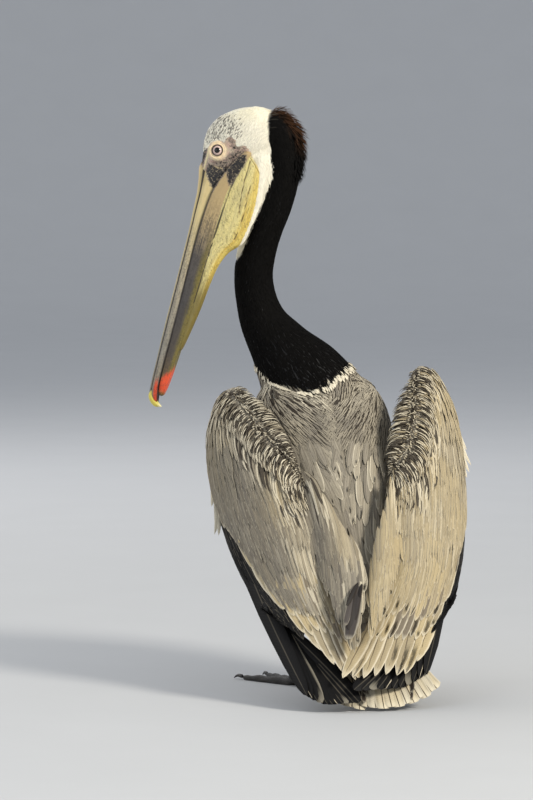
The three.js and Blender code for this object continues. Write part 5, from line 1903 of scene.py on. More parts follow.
@dataclass(frozen=True)
class Eyes:
    """Eyeballs with pupil, iris and a low cornea.

    Attributes:
        sides: Vertices round each ball.
        rows: Bands from pole to pole.
        bulge: How far the cornea stands out, as a share of the ball's radius.
        edge: Degrees from the pole to the cornea's edge.
    """

    sides: int = 48
    rows: int = 40
    bulge: float = 0.07
    edge: float = 42.0

    def build(self, shop: Workshop) -> None:
        """Makes both eyes."""
        finish = EyeFinish().material()
        for side in Side:
            shop.from_bmesh(f"eyeball_{side.word}", self._ball(side), finish, "eye", [f"eye_{side.word}"])

    def _ball(self, side: Side) -> bmesh.types.BMesh:
        """One eyeball, its pole at the pupil."""
        bm = bmesh.new()
        verts, turn, row = ball(bm, self.sides, self.rows)
        angle = row * math.pi
        inside = np.minimum(angle / math.radians(self.edge), 1)
        radius = EYE_RADIUS * (1 + self.bulge * np.cos(inside * math.pi / 2) ** 2)
        ring = np.sin(angle) * radius
        out = side.value * (EYE_OUT + np.cos(angle) * radius)
        place(verts, from_head(table(np.cos(turn * TURN) * ring, np.sin(turn * TURN) * ring, out)))
        store(bm, IRIS, np.where(angle < math.pi / 2, np.sin(angle), 1.0))
        return bm


# ---- wings ----
BACK_NORMAL = np.array([0.05, 0.76, 0.64])
FLANK_NORMAL = np.array([0.7, 0.55, 0.45])
SLIGHT = 0.01  # step over which slopes of a sheet are read, half to each side
ANY = 1e6  # a distance that nothing reaches


@dataclass
class Sheet:
    """Smooth sheet that feathers are laid on, read across from 0 to 1 and down from 0 to 1.

    Attributes:
        grid: Points, by column and row.
        normals: Outward normals there.
        span: Values across of the first and last column.
        slant: How far its feathers run down it, from 0 for those that run across it to 1.
    """

    grid: Array
    normals: Array
    span: tuple[float, float]
    slant: float = 1.0

    @staticmethod
    def through(
        columns: Array, span: tuple[float, float], outward: Array, slant: float = 1.0, rows: int = 90
    ) -> "Sheet":
        """Makes a sheet of columns of points, evenly spaced by their length.

        Args:
            columns: Points, by column and place down it.
            span: Values across of the first and last column.
            outward: Direction on the sheet's outer side.
            slant: How far its feathers run down it.
            rows: Rows of the sheet.

        Returns:
            The sheet.
        """
        fine = np.linspace(0, 1, 200)
        grid = []
        for column in columns:
            points, _ = spline(column, fine)
            run = np.concatenate([[0], np.cumsum(np.linalg.norm(np.diff(points, axis=0), axis=1))])
            wanted = np.linspace(0, run[-1], rows)
            grid.append(table(*(np.interp(wanted, run, part) for part in points.T)))
        grid = np.array(grid)
        across, down = np.gradient(grid, axis=0), np.gradient(grid, axis=1)
        normals = unit(np.cross(across, down))
        flip = np.sign(np.sum(normals * outward, axis=-1).mean())
        return Sheet(grid, normals * flip, span, slant)

    def at(self, across: Array, down: Array, out: float | Array = 0.0) -> tuple[Array, Array]:
        """Points and normals at places on the sheet, some way over it."""
        columns, rows = self.grid.shape[:2]
        x = np.clip((across - self.span[0]) / (self.span[1] - self.span[0]), 0, 1) * (columns - 1.001)
        y = np.clip(down, 0, 1) * (rows - 1.001)
        i, j = x.astype(int), y.astype(int)
        u, v = (x - i)[:, None], (y - j)[:, None]

        def read(grid: Array) -> Array:
            """Value between four corners."""
            top = grid[i, j] * (1 - u) + grid[i + 1, j] * u
            low = grid[i, j + 1] * (1 - u) + grid[i + 1, j + 1] * u
            return top * (1 - v) + low * v

        normal = unit(read(self.normals))
        beyond = (down - np.clip(down, 0, 1))[:, None] * self.length()
        run = unit(self.grid[i, -1] - self.grid[i, -4])
        return read(self.grid) + normal * np.broadcast_to(out, len(x))[:, None] + run * beyond, normal

    def slopes(self, across: Array, down: Array) -> tuple[Array, Array]:
        """How far points of the sheet move over a slight step across it, and down it."""
        right = self.at(across + SLIGHT, down)[0] - self.at(across - SLIGHT, down)[0]
        return right, self.at(across, down + SLIGHT)[0] - self.at(across, down - SLIGHT)[0]

    def walk(self, across: Array, down: Array, lie: Array, length: Array) -> tuple[Array, Array]:
        """Places across and down after walks over the sheet.

        Args:
            across: Places across it where they start.
            down: Places down it where they start.
            lie: Their directions.
            length: Their lengths.

        Returns:
            Places across and down at their ends.
        """
        right, below = (slope / (2 * SLIGHT) for slope in self.slopes(across, down))
        aa, ab, bb = (np.sum(p * q, axis=1) for p, q in ((right, right), (right, below), (below, below)))
        pa, pb = np.sum(lie * right, axis=1), np.sum(lie * below, axis=1)
        area = np.maximum(aa * bb - ab * ab, 1e-6)
        return across + (pa * bb - pb * ab) / area * length, down + (pb * aa - pa * ab) / area * length

    def heading(self, across: Array, down: Array) -> Array:
        """Directions that its feathers run in."""
        right, below = (unit(slope) for slope in self.slopes(across, down))
        return unit(below * self.slant + right * (1 - self.slant))

    @staticmethod
    def patch(across: Array, down: Array) -> Array:
        """Places on the map of patches of feathers at places on the sheet."""
        return 0.01 + 0.98 * np.clip(table(across, down), 0, 1)

    def length(self) -> float:
        """Mean length of a column."""
        return float(np.linalg.norm(np.diff(self.grid, axis=1), axis=2).sum(axis=1).mean())

    def breadth(self, down: float) -> float:
        """Distance across the sheet from 0 to 1 at a place down it."""
        across = np.linspace(0, 1, 40)
        points, _ = self.at(across, np.full(40, down))
        return run_length(points)


@dataclass(frozen=True)
class Lie:
    """Which way a wing's feathers lie: off its ridge to both sides, and turning down the wing.

    Attributes:
        line: Points along the ridge.
        outward: Direction away from the body.
        reach: Distances over which the lie turns, on the ridge's outer and inner side.
    """

    line: Array
    outward: Array
    reach: tuple[float, float] = (40.0, 75.0)

    def read(self, points: Array, normals: Array, along: Array) -> tuple[Array, Array, Array]:
        """Reads the lie at points.

        Args:
            points: Where feathers grow.
            normals: Normals there.
            along: Directions down the wing there.

        Returns:
            Directions of the feathers, distances from the ridge, and whether they lie past its lower end.
        """
        gaps = np.linalg.norm(points[:, None] - self.line[None], axis=2)
        nearest = gaps.argmin(axis=1)
        gap = gaps[np.arange(len(points)), nearest]
        off = points - self.line[nearest]
        inner = off @ self.outward < 0
        turn = step(gap, 0.0, np.where(inner, self.reach[1], self.reach[0]))[:, None]
        lie = unit(flat_to(off, normals) * (1 - turn) + along * (0.22 + turn))
        run = unit(np.gradient(self.line, axis=0))[nearest]
        on_line = step(gap, 4.0, 1.0)[:, None]
        return unit(lie * (1 - on_line) + run * on_line), gap, nearest >= len(self.line) - 3


@dataclass(frozen=True)
class Tier:
    """Rows of like feathers on a sheet.

    Attributes:
        down: Places down the sheet of the first and last row's roots.
        pitch: Distance between rows, in millimetres.
        gap: Distance between neighbours.
        length: Lengths in the first and last row.
        width: Widths in the first and last row.
        lift: Height of root, middle and tip over the sheet.
        across: Places across the sheet that it covers.
        near: Distances from the ridge that it covers.
        fan: Whether it is the fan past the ridge's lower end.
        black: Whether it is the black border outside the pale coverts.
    """

    down: tuple[float, float]
    pitch: float
    gap: float
    length: tuple[float, float]
    width: tuple[float, float]
    lift: tuple[float, float, float]
    across: tuple[float, float] = (0.0, 1.0)
    near: tuple[float, float] = (-1.0, ANY)
    fan: bool = False
    black: bool = False


@dataclass(frozen=True)
class Rank:
    """One row of large feathers on a sheet, whose tips follow a line.

    Attributes:
        tip: Place of the tips down the sheet.
        gap: Distance between neighbours.
        length: Length.
        width: Width.
        lift: Height of root, middle and tip over the sheet.
        across: Places across the sheet that it covers.
        uneven: How far tips are out of line.
        dark: Dark edges.
        pale: Pale edges.
        shaft: How clear the shafts are.
    """

    tip: float
    gap: float
    length: float
    width: float
    lift: tuple[float, float, float]
    across: tuple[float, float] = (0.0, 1.0)
    uneven: float = 4.0
    dark: float = 0.2
    pale: float = 0.5
    shaft: float = 0.6


@dataclass(frozen=True)
class WingForm:
    """How one wing is folded.

    Attributes:
        ridge: Shares along the arm of points of its ridge, and degrees round it.
        trim: Places down the outer sheet, and how far across it the pale coverts reach there.
        secondary_tips: Three points under the tips of the secondaries.
        primary_tips: Three points under the tips of the primaries.
        inner_tips: Three points under the tips of the inner fan.
        loose: Places down the sheet, lengths and distances off it of the loose plumes.
        apart: Distance between secondaries.
        inmost: Place across the sheet of the first of them.
        first: Place across the inner sheet at which its feathers start.
    """

    ridge: Rows
    trim: Rows
    secondary_tips: Rows
    primary_tips: Rows
    inner_tips: Rows
    loose: Rows
    apart: float
    inmost: float
    first: float


WING_FORMS = {
    Side.LEFT: WingForm(
        (
            (0.0, 0.085, 0.155, 0.23, 0.305, 0.37, 0.425, 0.48, 0.52),
            (-6, -14, -27, -36, -42, -48, -62, -84, -95),
        ),
        (
            (0.0, 0.31, 0.37, 0.42, 0.5, 0.6, 0.7, 0.8, 0.9, 0.96, 1.0),
            (1.3, 1.1, 0.96, 0.88, 0.76, 0.7, 0.645, 0.6, 0.47, 0.3, 0.14),
        ),
        ((40, 194, 38), (82, 178, 60), (117, 140, 102)),
        ((52, 203, 14), (80, 202, 15), (108, 190, 26)),
        ((6, 72, 204), (12, 114, 170), (32, 164, 108)),
        ((0.30, 34, 7), (0.34, 46, 9), (0.36, 50, 13), (0.38, 44, 8)),
        12.0,
        -0.12,
        0.13,
    ),
    Side.RIGHT: WingForm(
        (
            (0.0, 0.07, 0.145, 0.23, 0.31, 0.395, 0.46, 0.495, 0.525),
            (-70, -73, -68, -54, -47, -48, -53, -67, -86),
        ),
        (
            (0.0, 0.42, 0.5, 0.6, 0.7, 0.8, 0.9, 0.97, 1.0),
            (1.3, 1.1, 0.88, 0.77, 0.69, 0.66, 0.63, 0.56, 0.46),
        ),
        ((30, 196, 44), (-32, 190, 48), (-88, 138, 104)),
        ((24, 203, 31), (-20, 197, 33), (-64, 178, 46)),
        ((-9, 67, 197), (-4, 106, 164), (6, 146, 122)),
        ((0.19, 40, 8), (0.22, 48, 12), (0.25, 44, 9), (0.28, 38, 6)),
        15.0,
        -0.22,
        0.34,
    ),
}


@dataclass
class Wing:
    """One folded wing: arm, coverts, secondaries, inner fan and primaries.

    Attributes:
        side: Which wing.
        form: The bird's body.
        skin: Surface that the small feathers of the arm lie on.
        rng: Source of unevenness.
        arc: Degrees round the arm at 0 and 1 across the outer sheet.
        wide: Places across the outer sheet of its edges.
    """

    side: Side
    form: Form
    skin: Surface
    rng: np.random.Generator
    arc: tuple[float, float] = (-70.0, 84.0)
    wide: tuple[float, float] = (-0.3, 1.14)

    @property
    def fold(self) -> WingForm:
        """How this wing is folded."""
        return WING_FORMS[self.side]

    @property
    def arm(self) -> Loft:
        """This wing's folded arm."""
        return self.form.arms[self.side]

    @property
    def flip(self) -> int:
        """Sign of x on this wing's side."""
        return self.side.value

    def tip_line(self, tips: Rows, shares: Array) -> tuple[Array, Array]:
        """Points and normals along a line of feather tips."""
        tips = np.array(tips, float)
        points, run = spline(tips, shares)
        beyond = (shares - np.clip(shares, 0, 1))[:, None]
        flip = np.array([self.flip, 1, 1])
        normals = unit(mixed(BACK_NORMAL * flip, FLANK_NORMAL * flip, np.clip(shares, 0, 1)))
        return points + run * beyond * np.linalg.norm(tips[2] - tips[0]), normals

    def beyond(self, across: Array, down: Array) -> Array:
        """How far places lie outside the pale coverts' outer border."""
        return across - np.interp(down, *self.fold.trim)

    def lowest(self, across: Array) -> Array:
        """Places down the sheet at which the pale coverts end."""
        down, limit = self.fold.trim
        return np.interp(-across, [-v for v in limit], down, right=1.0)

    def arm_points(self, share: float, across: Array, out: float) -> Array:
        """Points on the arm at one share along it."""
        degrees = self.flip * (self.arc[0] + (self.arc[1] - self.arc[0]) * across)
        return self.arm.on(share, degrees, out)[0]

    def lie(self) -> Lie:
        """Lie of the feathers round this wing's ridge."""
        shares, degrees = self.fold.ridge
        fine = np.linspace(0, shares[-1], 90)
        turn = self.flip * np.interp(fine, shares, degrees)
        line = self.arm.on(fine, turn, 1.0)[0]
        return Lie(line, np.array([self.flip, 0.0, 0.0]))

    def outer_sheet(self) -> Sheet:
        """Sheet from the wrist over the arm to the tips of the secondaries."""
        across = np.linspace(*self.wide, 48)
        shares = (0.015, 0.07, 0.15, 0.25, 0.36, 0.48, 0.6, 0.72, 0.8)
        columns = [self.arm_points(share, across, 0.5) for share in shares]
        tips, _ = self.tip_line(self.fold.secondary_tips, across)
        return Sheet.through(np.stack([*columns, tips], axis=1), self.wide, wing_face(self.side))

    def inner_sheet(self) -> Sheet:
        """Sheet from the arm's inner edge over the rump to the tips of the inner fan."""
        reach = 1.35
        down = np.linspace(0, reach, 32)
        above = self.arm.on(0.22 + 0.4 * down, self.flip * -44.0, 2.0)[0]
        root = self.arm.on(0.32 + 0.4 * down, self.flip * -74.0, 2.5)[0]
        tips, normals = self.tip_line(self.fold.inner_tips, down)
        middle = (root + tips) / 2 + normals * 6
        return Sheet.through(np.stack([above, root, middle, tips], axis=1), (0.0, reach), BACK_NORMAL, 0.24)

    def colours(
        self, points: Array, across: Array, down: Array, gap: Array, framed: bool = True
    ) -> tuple[Array, Array]:
        """Colours of covert feathers.

        Args:
            points: Their roots.
            across: Places across the sheet.
            down: Places down it.
            gap: Distances from the ridge.
            framed: Whether those past the outer border are black.

        Returns:
            Colours and marks.
        """
        count = len(points)
        chance, luck = self.rng.uniform(0, 1, (2, count))
        strong = step(gap, 46, 10)
        wide, long = (across, down) if framed else (down, across)
        streak = cloud(table(wide * 420, long * 36, 0.0), 9.0, 7.0)
        blotch = cloud(points, 42.0, 6.0)
        tone = mixed(SILVER_GREY, SILVER, np.clip(0.6 + 0.4 * streak + 1.1 * (chance - 0.5), 0, 1))
        tone = mixed(tone, PALE_TIP, 0.42 * (chance > 0.74))
        tone = mixed(tone, EDGE_DARK, 0.3 * (chance < 0.16))
        # warm blotches at random, plus painted sunlight: the right wing is made warmer all over
        warm = 0.25 + 0.35 * blotch + (0.45 if self.side is Side.RIGHT else 0.0)
        tone = mixed(tone, SILVER_WARM, np.clip(warm, 0, 1))
        # painted shade: the middle of the left wing's outer face is made greyer and darker
        if self.side is Side.LEFT:
            painted_shade = step(across, 0.2, 0.45) * step(down, 0.06, 0.2) * step(down, 0.85, 0.6)
            tone = mixed(tone, SILVER_GREY, painted_shade * np.clip(0.6 + 0.3 * streak, 0, 1))
            tone = tone * (1 - 0.24 * painted_shade)[:, None]
        tone = mixed(tone, PALE_TIP, strong * 0.6 * (chance > 0.3))
        black = (luck < 0.3 * strong) & (gap < 30)
        speck = (luck < 0.52) & (gap < 8)
        tone = mixed(tone, EDGE_DARK, 0.92 * (black | speck))
        under = np.maximum(step(across, 1.16, 1.3), step(across, -0.34, -0.5)) * float(framed)
        tone = mixed(tone, mixed(BELLY_DARK, QUILL_BROWN, chance), under)
        rim = step(self.beyond(across, down), -0.02, 0.03) * (1 - under) if framed else np.zeros(count)
        tone = mixed(tone, BLACK_QUILL, rim)
        dark = (0.6 + 0.3 * strong + 0.3 * (chance - 0.5)) * (1 - rim)
        pale = (0.35 * (1 - strong)) * (1 - rim)
        return tone, table(np.clip(dark, 0, 1), pale, 0.3 * (1 - strong), chance)

    def bed(
        self, lines: Sequence[Array], width: Array | float, colours: Sequence[Array], patch: Array
    ) -> Bed:
        """Bed of feathers with uneven widths and a slight turn that tucks their inner edges."""
        count = len(lines[0])
        width = width * self.rng.uniform(0.86, 1.14, count)
        turn = self.flip * self.rng.uniform(2, 8, count)
        return Bed(*lines, width, np.clip(width * 0.1, 0.5, 1.0), *colours, patch, turn)

    def tier(self, sheet: Sheet, tier: Tier, plume: Plume, lie: Lie) -> Growth:
        """Grows a tier of feathers that follow the wing's lie.

        Args:
            sheet: Sheet that they lie on.
            tier: Their rows.
            plume: Their shape.
            lie: Their directions.

        Returns:
            The feathers.
        """
        rows = int((tier.down[1] - tier.down[0]) * sheet.length() / tier.pitch)
        across, down = [], []
        for row, level in enumerate(np.linspace(*tier.down, rows)):
            count = int(sheet.breadth(level) * (tier.across[1] - tier.across[0]) / tier.gap)
            spread = (np.arange(count) + 0.5 * (row % 2) + self.rng.uniform(-0.3, 0.3, count)) / count
            across.append(tier.across[0] + (tier.across[1] - tier.across[0]) * spread)
            down.append(level + self.rng.uniform(-0.5, 0.5, count) * tier.pitch / sheet.length())
        across, down = np.concatenate(across), np.concatenate(down)
        points, normals = sheet.at(across, down)
        first, gap, past = lie.read(points, normals, sheet.heading(across, down))
        good = (gap > tier.near[0]) & (gap < tier.near[1])
        if sheet.slant < 1:
            good &= np.sum(first * sheet.heading(across, down), axis=1) > 0.3
        if tier.fan:
            good &= past
        if tier.black:
            good &= self.beyond(across, down) > -0.05
        across, down, first, gap = across[good], down[good], first[good], gap[good]
        share = np.clip((down - tier.down[0]) / (tier.down[1] - tier.down[0]), 0, 1)
        length, width = (low + (high - low) * share for low, high in (tier.length, tier.width))
        close = 0.6 + 0.4 * step(gap, 0.0, 20.0)
        length = length * self.rng.uniform(0.85, 1.15, len(down)) * close
        width = width * (0.5 + 0.5 * close)
        framed = sheet.slant == 1.0
        across_tip, down_tip = sheet.walk(across, down, first, length)
        if framed and not tier.black:
            down = down - np.clip(down_tip - self.lowest(across_tip), 0, 0.5)
        root, rise = sheet.at(across, down, tier.lift[0])
        across_mid, down_mid = sheet.walk(across, down, first, length / 2)
        middle, halfway = sheet.at(across_mid, down_mid, tier.lift[1])
        second, _, _ = lie.read(middle, halfway, sheet.heading(across_mid, down_mid))
        across_tip, down_tip = sheet.walk(across_mid, down_mid, second, length / 2)
        tip, fall = sheet.at(across_tip, down_tip, tier.lift[2])
        tone, mark = self.colours(root, across, down, gap, framed)
        dusky = (tone.max(axis=1) < 2.5 * max(EDGE_DARK)) & (gap < 40) & framed
        width = width * np.where(dusky, 0.6, 1.0)
        if tier.black:
            tone = BLACK_QUILL * self.rng.uniform(0.6, 1.3, (len(tone), 1))
            mark = mark * [0.0, 0.2, 0.6, 1.0]
        bed = self.bed((root, middle, tip, rise, fall), width, (tone, mark), sheet.patch(across, down))
        lowest = 0.92 if tier.black else ANY
        kept = (across_tip > sheet.span[0] + 0.01) & (down_tip > 0) & (down_tip < lowest)
        return grow(plume, bed.picked(kept), self.rng)

    def rank(self, sheet: Sheet, rank: Rank, plume: Plume) -> Growth:
        """Grows one row of large feathers down the sheet's columns."""
        long = sheet.length()
        count = max(3, int(sheet.breadth(rank.tip - 0.1) * (rank.across[1] - rank.across[0]) / rank.gap))
        across = rank.across[0] + (rank.across[1] - rank.across[0]) * np.linspace(0, 1, count)
        across = across + self.rng.uniform(-0.12, 0.12, count) / count
        end = np.minimum(rank.tip, self.lowest(across)) + self.rng.uniform(-1, 1, count) * rank.uneven / long
        size = rank.length * self.rng.uniform(0.94, 1.06, count) / long
        root, rise = sheet.at(across, np.maximum(0.0, end - size), rank.lift[0])
        middle, _ = sheet.at(across, end - size / 2, rank.lift[1])
        tip, fall = sheet.at(across, end, rank.lift[2])
        chance = self.rng.uniform(0, 1, count)
        tone = mixed(SILVER_GREY, SILVER_WARM, np.clip(0.5 + 0.9 * (chance - 0.35), 0.12, 1))
        tone = mixed(tone, QUILL_BROWN, (chance < 0.3) * 0.45)
        mark = table(rank.dark, rank.pale, rank.shaft, chance)
        lines = (root, middle, tip, rise, fall)
        return grow(plume, self.bed(lines, rank.width, (tone, mark), sheet.patch(across, end)), self.rng)

    def small_coverts(self, lie: Lie) -> Growth:
        """Short streaked feathers all over the arm."""
        shares, degrees = Tract(self.arm, 7.0, 3.8, (0.01, 0.97), jitter=0.45).places(self.rng)
        spots, normals, along = self.arm.on(shares, degrees)
        _, _, off = self.skin.nearest(spots)
        good = off < 6
        shares, degrees, spots, normals, along = (v[good] for v in (shares, degrees, spots, normals, along))
        run, gap, _ = lie.read(spots, normals, along)
        length = (14 + 12 * shares) * self.rng.uniform(0.8, 1.2, len(spots))
        lines = self.skin.lay(spots, run, length, (-0.6, 1.4, 2.2))
        across = (self.flip * degrees - self.arc[0]) / (self.arc[1] - self.arc[0])
        colours = self.colours(lines[0], across, shares * 0.8, gap)
        return grow(LANCE, self.bed(lines, 4.4, colours, patch_round(degrees, shares)), self.rng)

    def primaries(self) -> Growth:
        """Black flight feathers stacked under the outer edge, with the black coverts over their roots."""
        face = wing_face(self.side)
        count = 11
        share = np.linspace(-0.24, 1, count)
        root = self.arm.on(0.9 - 0.42 * share, self.flip * 94.0, -6.0)[0]
        tip, normal = self.tip_line(self.fold.primary_tips, share)
        order = np.arange(count)
        drop = (-1.6 * order)[:, None]
        root, tip = root + face * drop * 0.4, tip + normal * drop * 0.6
        middle = (root + tip) / 2 + unit(face + normal) * 2.5 + np.outer(share, [self.flip * 5, 0, 0])
        pale, shaft = np.where(order % 5 == 2, 0.25, 0.0), np.where(order % 5 == 4, 1.0, 0.12)
        mark = table(0.0, pale, shaft, self.rng.uniform(0, 1, count))
        patch = table(0.05 + 0.9 * share, 0.9)
        bed = Bed(root, middle, tip, face, normal, 25.0, 1.0, BLACK_QUILL, mark, patch, 0.0)
        return merged([grow(BLADE, bed, self.rng), self.edge_coverts()])

    def edge_coverts(self) -> Growth:
        """Ragged black coverts along the outer edge."""
        beds = []
        for row, (angle, out) in enumerate(((78.0, 1.5), (88.0, 0.5), (100.0, -2.0), (114.0, -3.0))):
            count = 18
            share = np.linspace(0.44, 0.92, count) + self.rng.uniform(-0.01, 0.01, count)
            root, rise, _ = self.arm.on(share, self.flip * angle, out)
            length = (50 + 30 * share) * self.rng.uniform(0.85, 1.15, count)
            reach, _ = self.tip_line(self.fold.primary_tips, np.clip(1.3 - share, 0, 1))
            lie = unit(reach - root)
            tip = root + lie * length[:, None]
            middle = root + lie * length[:, None] / 2 + rise * 1.5
            chance = self.rng.uniform(0, 1, count)
            mark = table(0.0, 0.3 * (chance > 0.6), 0.3, chance)
            patch = table(share, 0.1 + 0.1 * row)
            tone = BLACK_QUILL * self.rng.uniform(0.7, 1.4, (count, 1))
            width = 10.0 * self.rng.uniform(0.8, 1.2, count)
            beds.append(Bed(root, middle, tip, rise, rise, width, 0.8, tone, mark, patch, 0.0))
        return grow(POINTED, Bed.joined(beds), self.rng)

    def loose_plumes(self, sheet: Sheet) -> Growth:
        """Pale pointed feathers that stand off the outer edge."""
        down, length, off = np.array(self.fold.loose, float).T[..., None]
        down = down[:, 0]
        count = len(down)
        across = np.full(count, 1.0)
        root, _ = sheet.at(across, down, -0.5)
        lie = sheet.heading(across, down)
        outward = flat_to(np.broadcast_to([self.flip, 0.0, 0.0], (count, 3)), lie)
        tip = root + lie * length + outward * off
        middle = root + lie * length * 0.5 + outward * off * 0.3 + BACK_NORMAL
        patch = table(np.linspace(0.1, 0.9, count), 0.5)
        tone = PALE_TIP * self.rng.uniform(0.8, 1.0, (count, 1))
        mark = (0.0, 0.3, 0.2, 0.5)
        bed = Bed(root, middle, tip, BACK_NORMAL, BACK_NORMAL, 6.0, 0.7, tone, mark, patch, 0.0)
        return grow(LANCE, bed, self.rng)

    def build(self, shop: Workshop, finishes: dict[str, Material]) -> None:
        """Makes the wing's pieces."""
        outer, inner, lie = self.outer_sheet(), self.inner_sheet(), self.lie()
        fold = self.fold
        flight = (
            Rank(1.0, fold.apart, 200, fold.apart + 8, (-3, 0.5, 0.5), (fold.inmost, 1.0), 3, 0.05, 0.6, 0.7),
            Rank(0.87, 10.0, 130, 15, (-2, 1.6, 1.6), (-0.1, 1.0), 8, 0.15, 0.6, 0.5),
            Rank(0.8, 9.0, 110, 13, (-1, 2.4, 2.4), (-0.06, 1.0), 9, 0.2, 0.5, 0.5),
        )
        whole = (-0.28, 1.05)
        median = Tier((0.32, 0.57), 24.0, 4.1, (80, 100), (5.8, 7.2), (-0.6, 2.2, 2.8), (-0.08, 1), (26, ANY))
        lesser = Tier((0.03, 0.42), 15.0, 3.3, (30, 72), (3.8, 5.6), (-0.5, 2.0, 2.6), whole, (16, ANY))
        close = Tier((0.02, 0.5), 5.6, 2.2, (14, 22), (2.3, 2.9), (-0.3, 1.9, 2.6), whole, (4.0, 28))
        crest = Tier((0.02, 0.5), 2.6, 2.3, (7, 8), (2.4, 2.6), (0.0, 2.2, 2.4), whole, (-1.0, 5))
        fan = Tier((0.2, 0.55), 7.0, 2.6, (28, 36), (2.6, 3.2), (0.2, 3.2, 3.6), whole, (2.0, 34), True)
        fringe = Tier((0.08, 0.5), 7.0, 3.6, (24, 30), (3.4, 4.0), (0.4, 3.4, 6.0), (-0.3, 0.16), (5.0, 36))
        border = Tier((0.3, 0.94), 16.0, 7.0, (60, 70), (9.0, 10.0), (-1, 1, 1), (0.4, 1.14), black=True)
        near = Lie(lie.line, lie.outward, (40.0, 26.0))
        start = fold.first
        wide = (start + 0.04, 1.02)
        base = Tier((0.03, 0.97), 9.0, 26.0, (54, 70), (10.0, 12.0), (-1.0, 1.2, 1.6), wide, (14, ANY))
        more = (start, 1.06)
        narrow = Tier((0.02, 0.96), 4.4, 30.0, (50, 70), (5.4, 6.8), (0.4, 2.8, 3.0), more, (14, ANY))

        def made(part: str, growths: Sequence[Growth], finish: str, slot: str = "silver_feather") -> None:
            """Makes one piece of the wing."""
            word = self.side.word
            shop.from_growth(f"wing_{word}_{part}", merged(growths), finishes[finish], slot, [f"wing_{word}"])

        made("arm", [self.small_coverts(lie)], "plumage")
        made("secondaries", [self.rank(outer, rank, POINTED) for rank in flight], "vane")
        coverts = [self.tier(outer, tier, LANCE, lie) for tier in (lesser, median, close, crest, fringe, fan)]
        made("coverts", [*coverts, self.loose_plumes(outer)], "plumage")
        inner_fan = [self.tier(inner, base, POINTED, near), self.tier(inner, narrow, LANCE, near)]
        made("inner_fan", inner_fan, "plumage")
        primaries = [self.primaries(), self.tier(outer, border, POINTED, lie)]
        made("primaries", primaries, "quill", "dark_feather")


# ---- tail ----
# root, tip, lift and arch, width and turn, shade, and marks of each vane of the loose dark feather
TUFT_ROWS = (
    (20, 127, 153, 47, 180, 88, 1.0, 3, 19, 0, 1.0, 0.3, 0.35, 0.5, 0.2),
    (22, 127, 151, 44, 172, 98, 1.2, 4, 14, 12, 0.6, 0.6, 0, 0.2, 0.6),
    (17, 128, 152, 38, 166, 104, 1.3, 4, 9, -14, 0.8, 0.5, 0, 0.2, 0.3),
    (24, 129, 149, 49, 170, 104, 1.1, 3, 9, 18, 1.25, 0.2, 0.2, 0.2, 0.8),
    (15, 126, 154, 30, 150, 122, 1.5, 3.5, 7, -20, 0.3, 0.8, 0, 0, 0.5),
    (19, 126, 155, 42, 152, 126, 1.4, 3, 6, 24, 0.4, 0.8, 0, 0, 0.1),
)


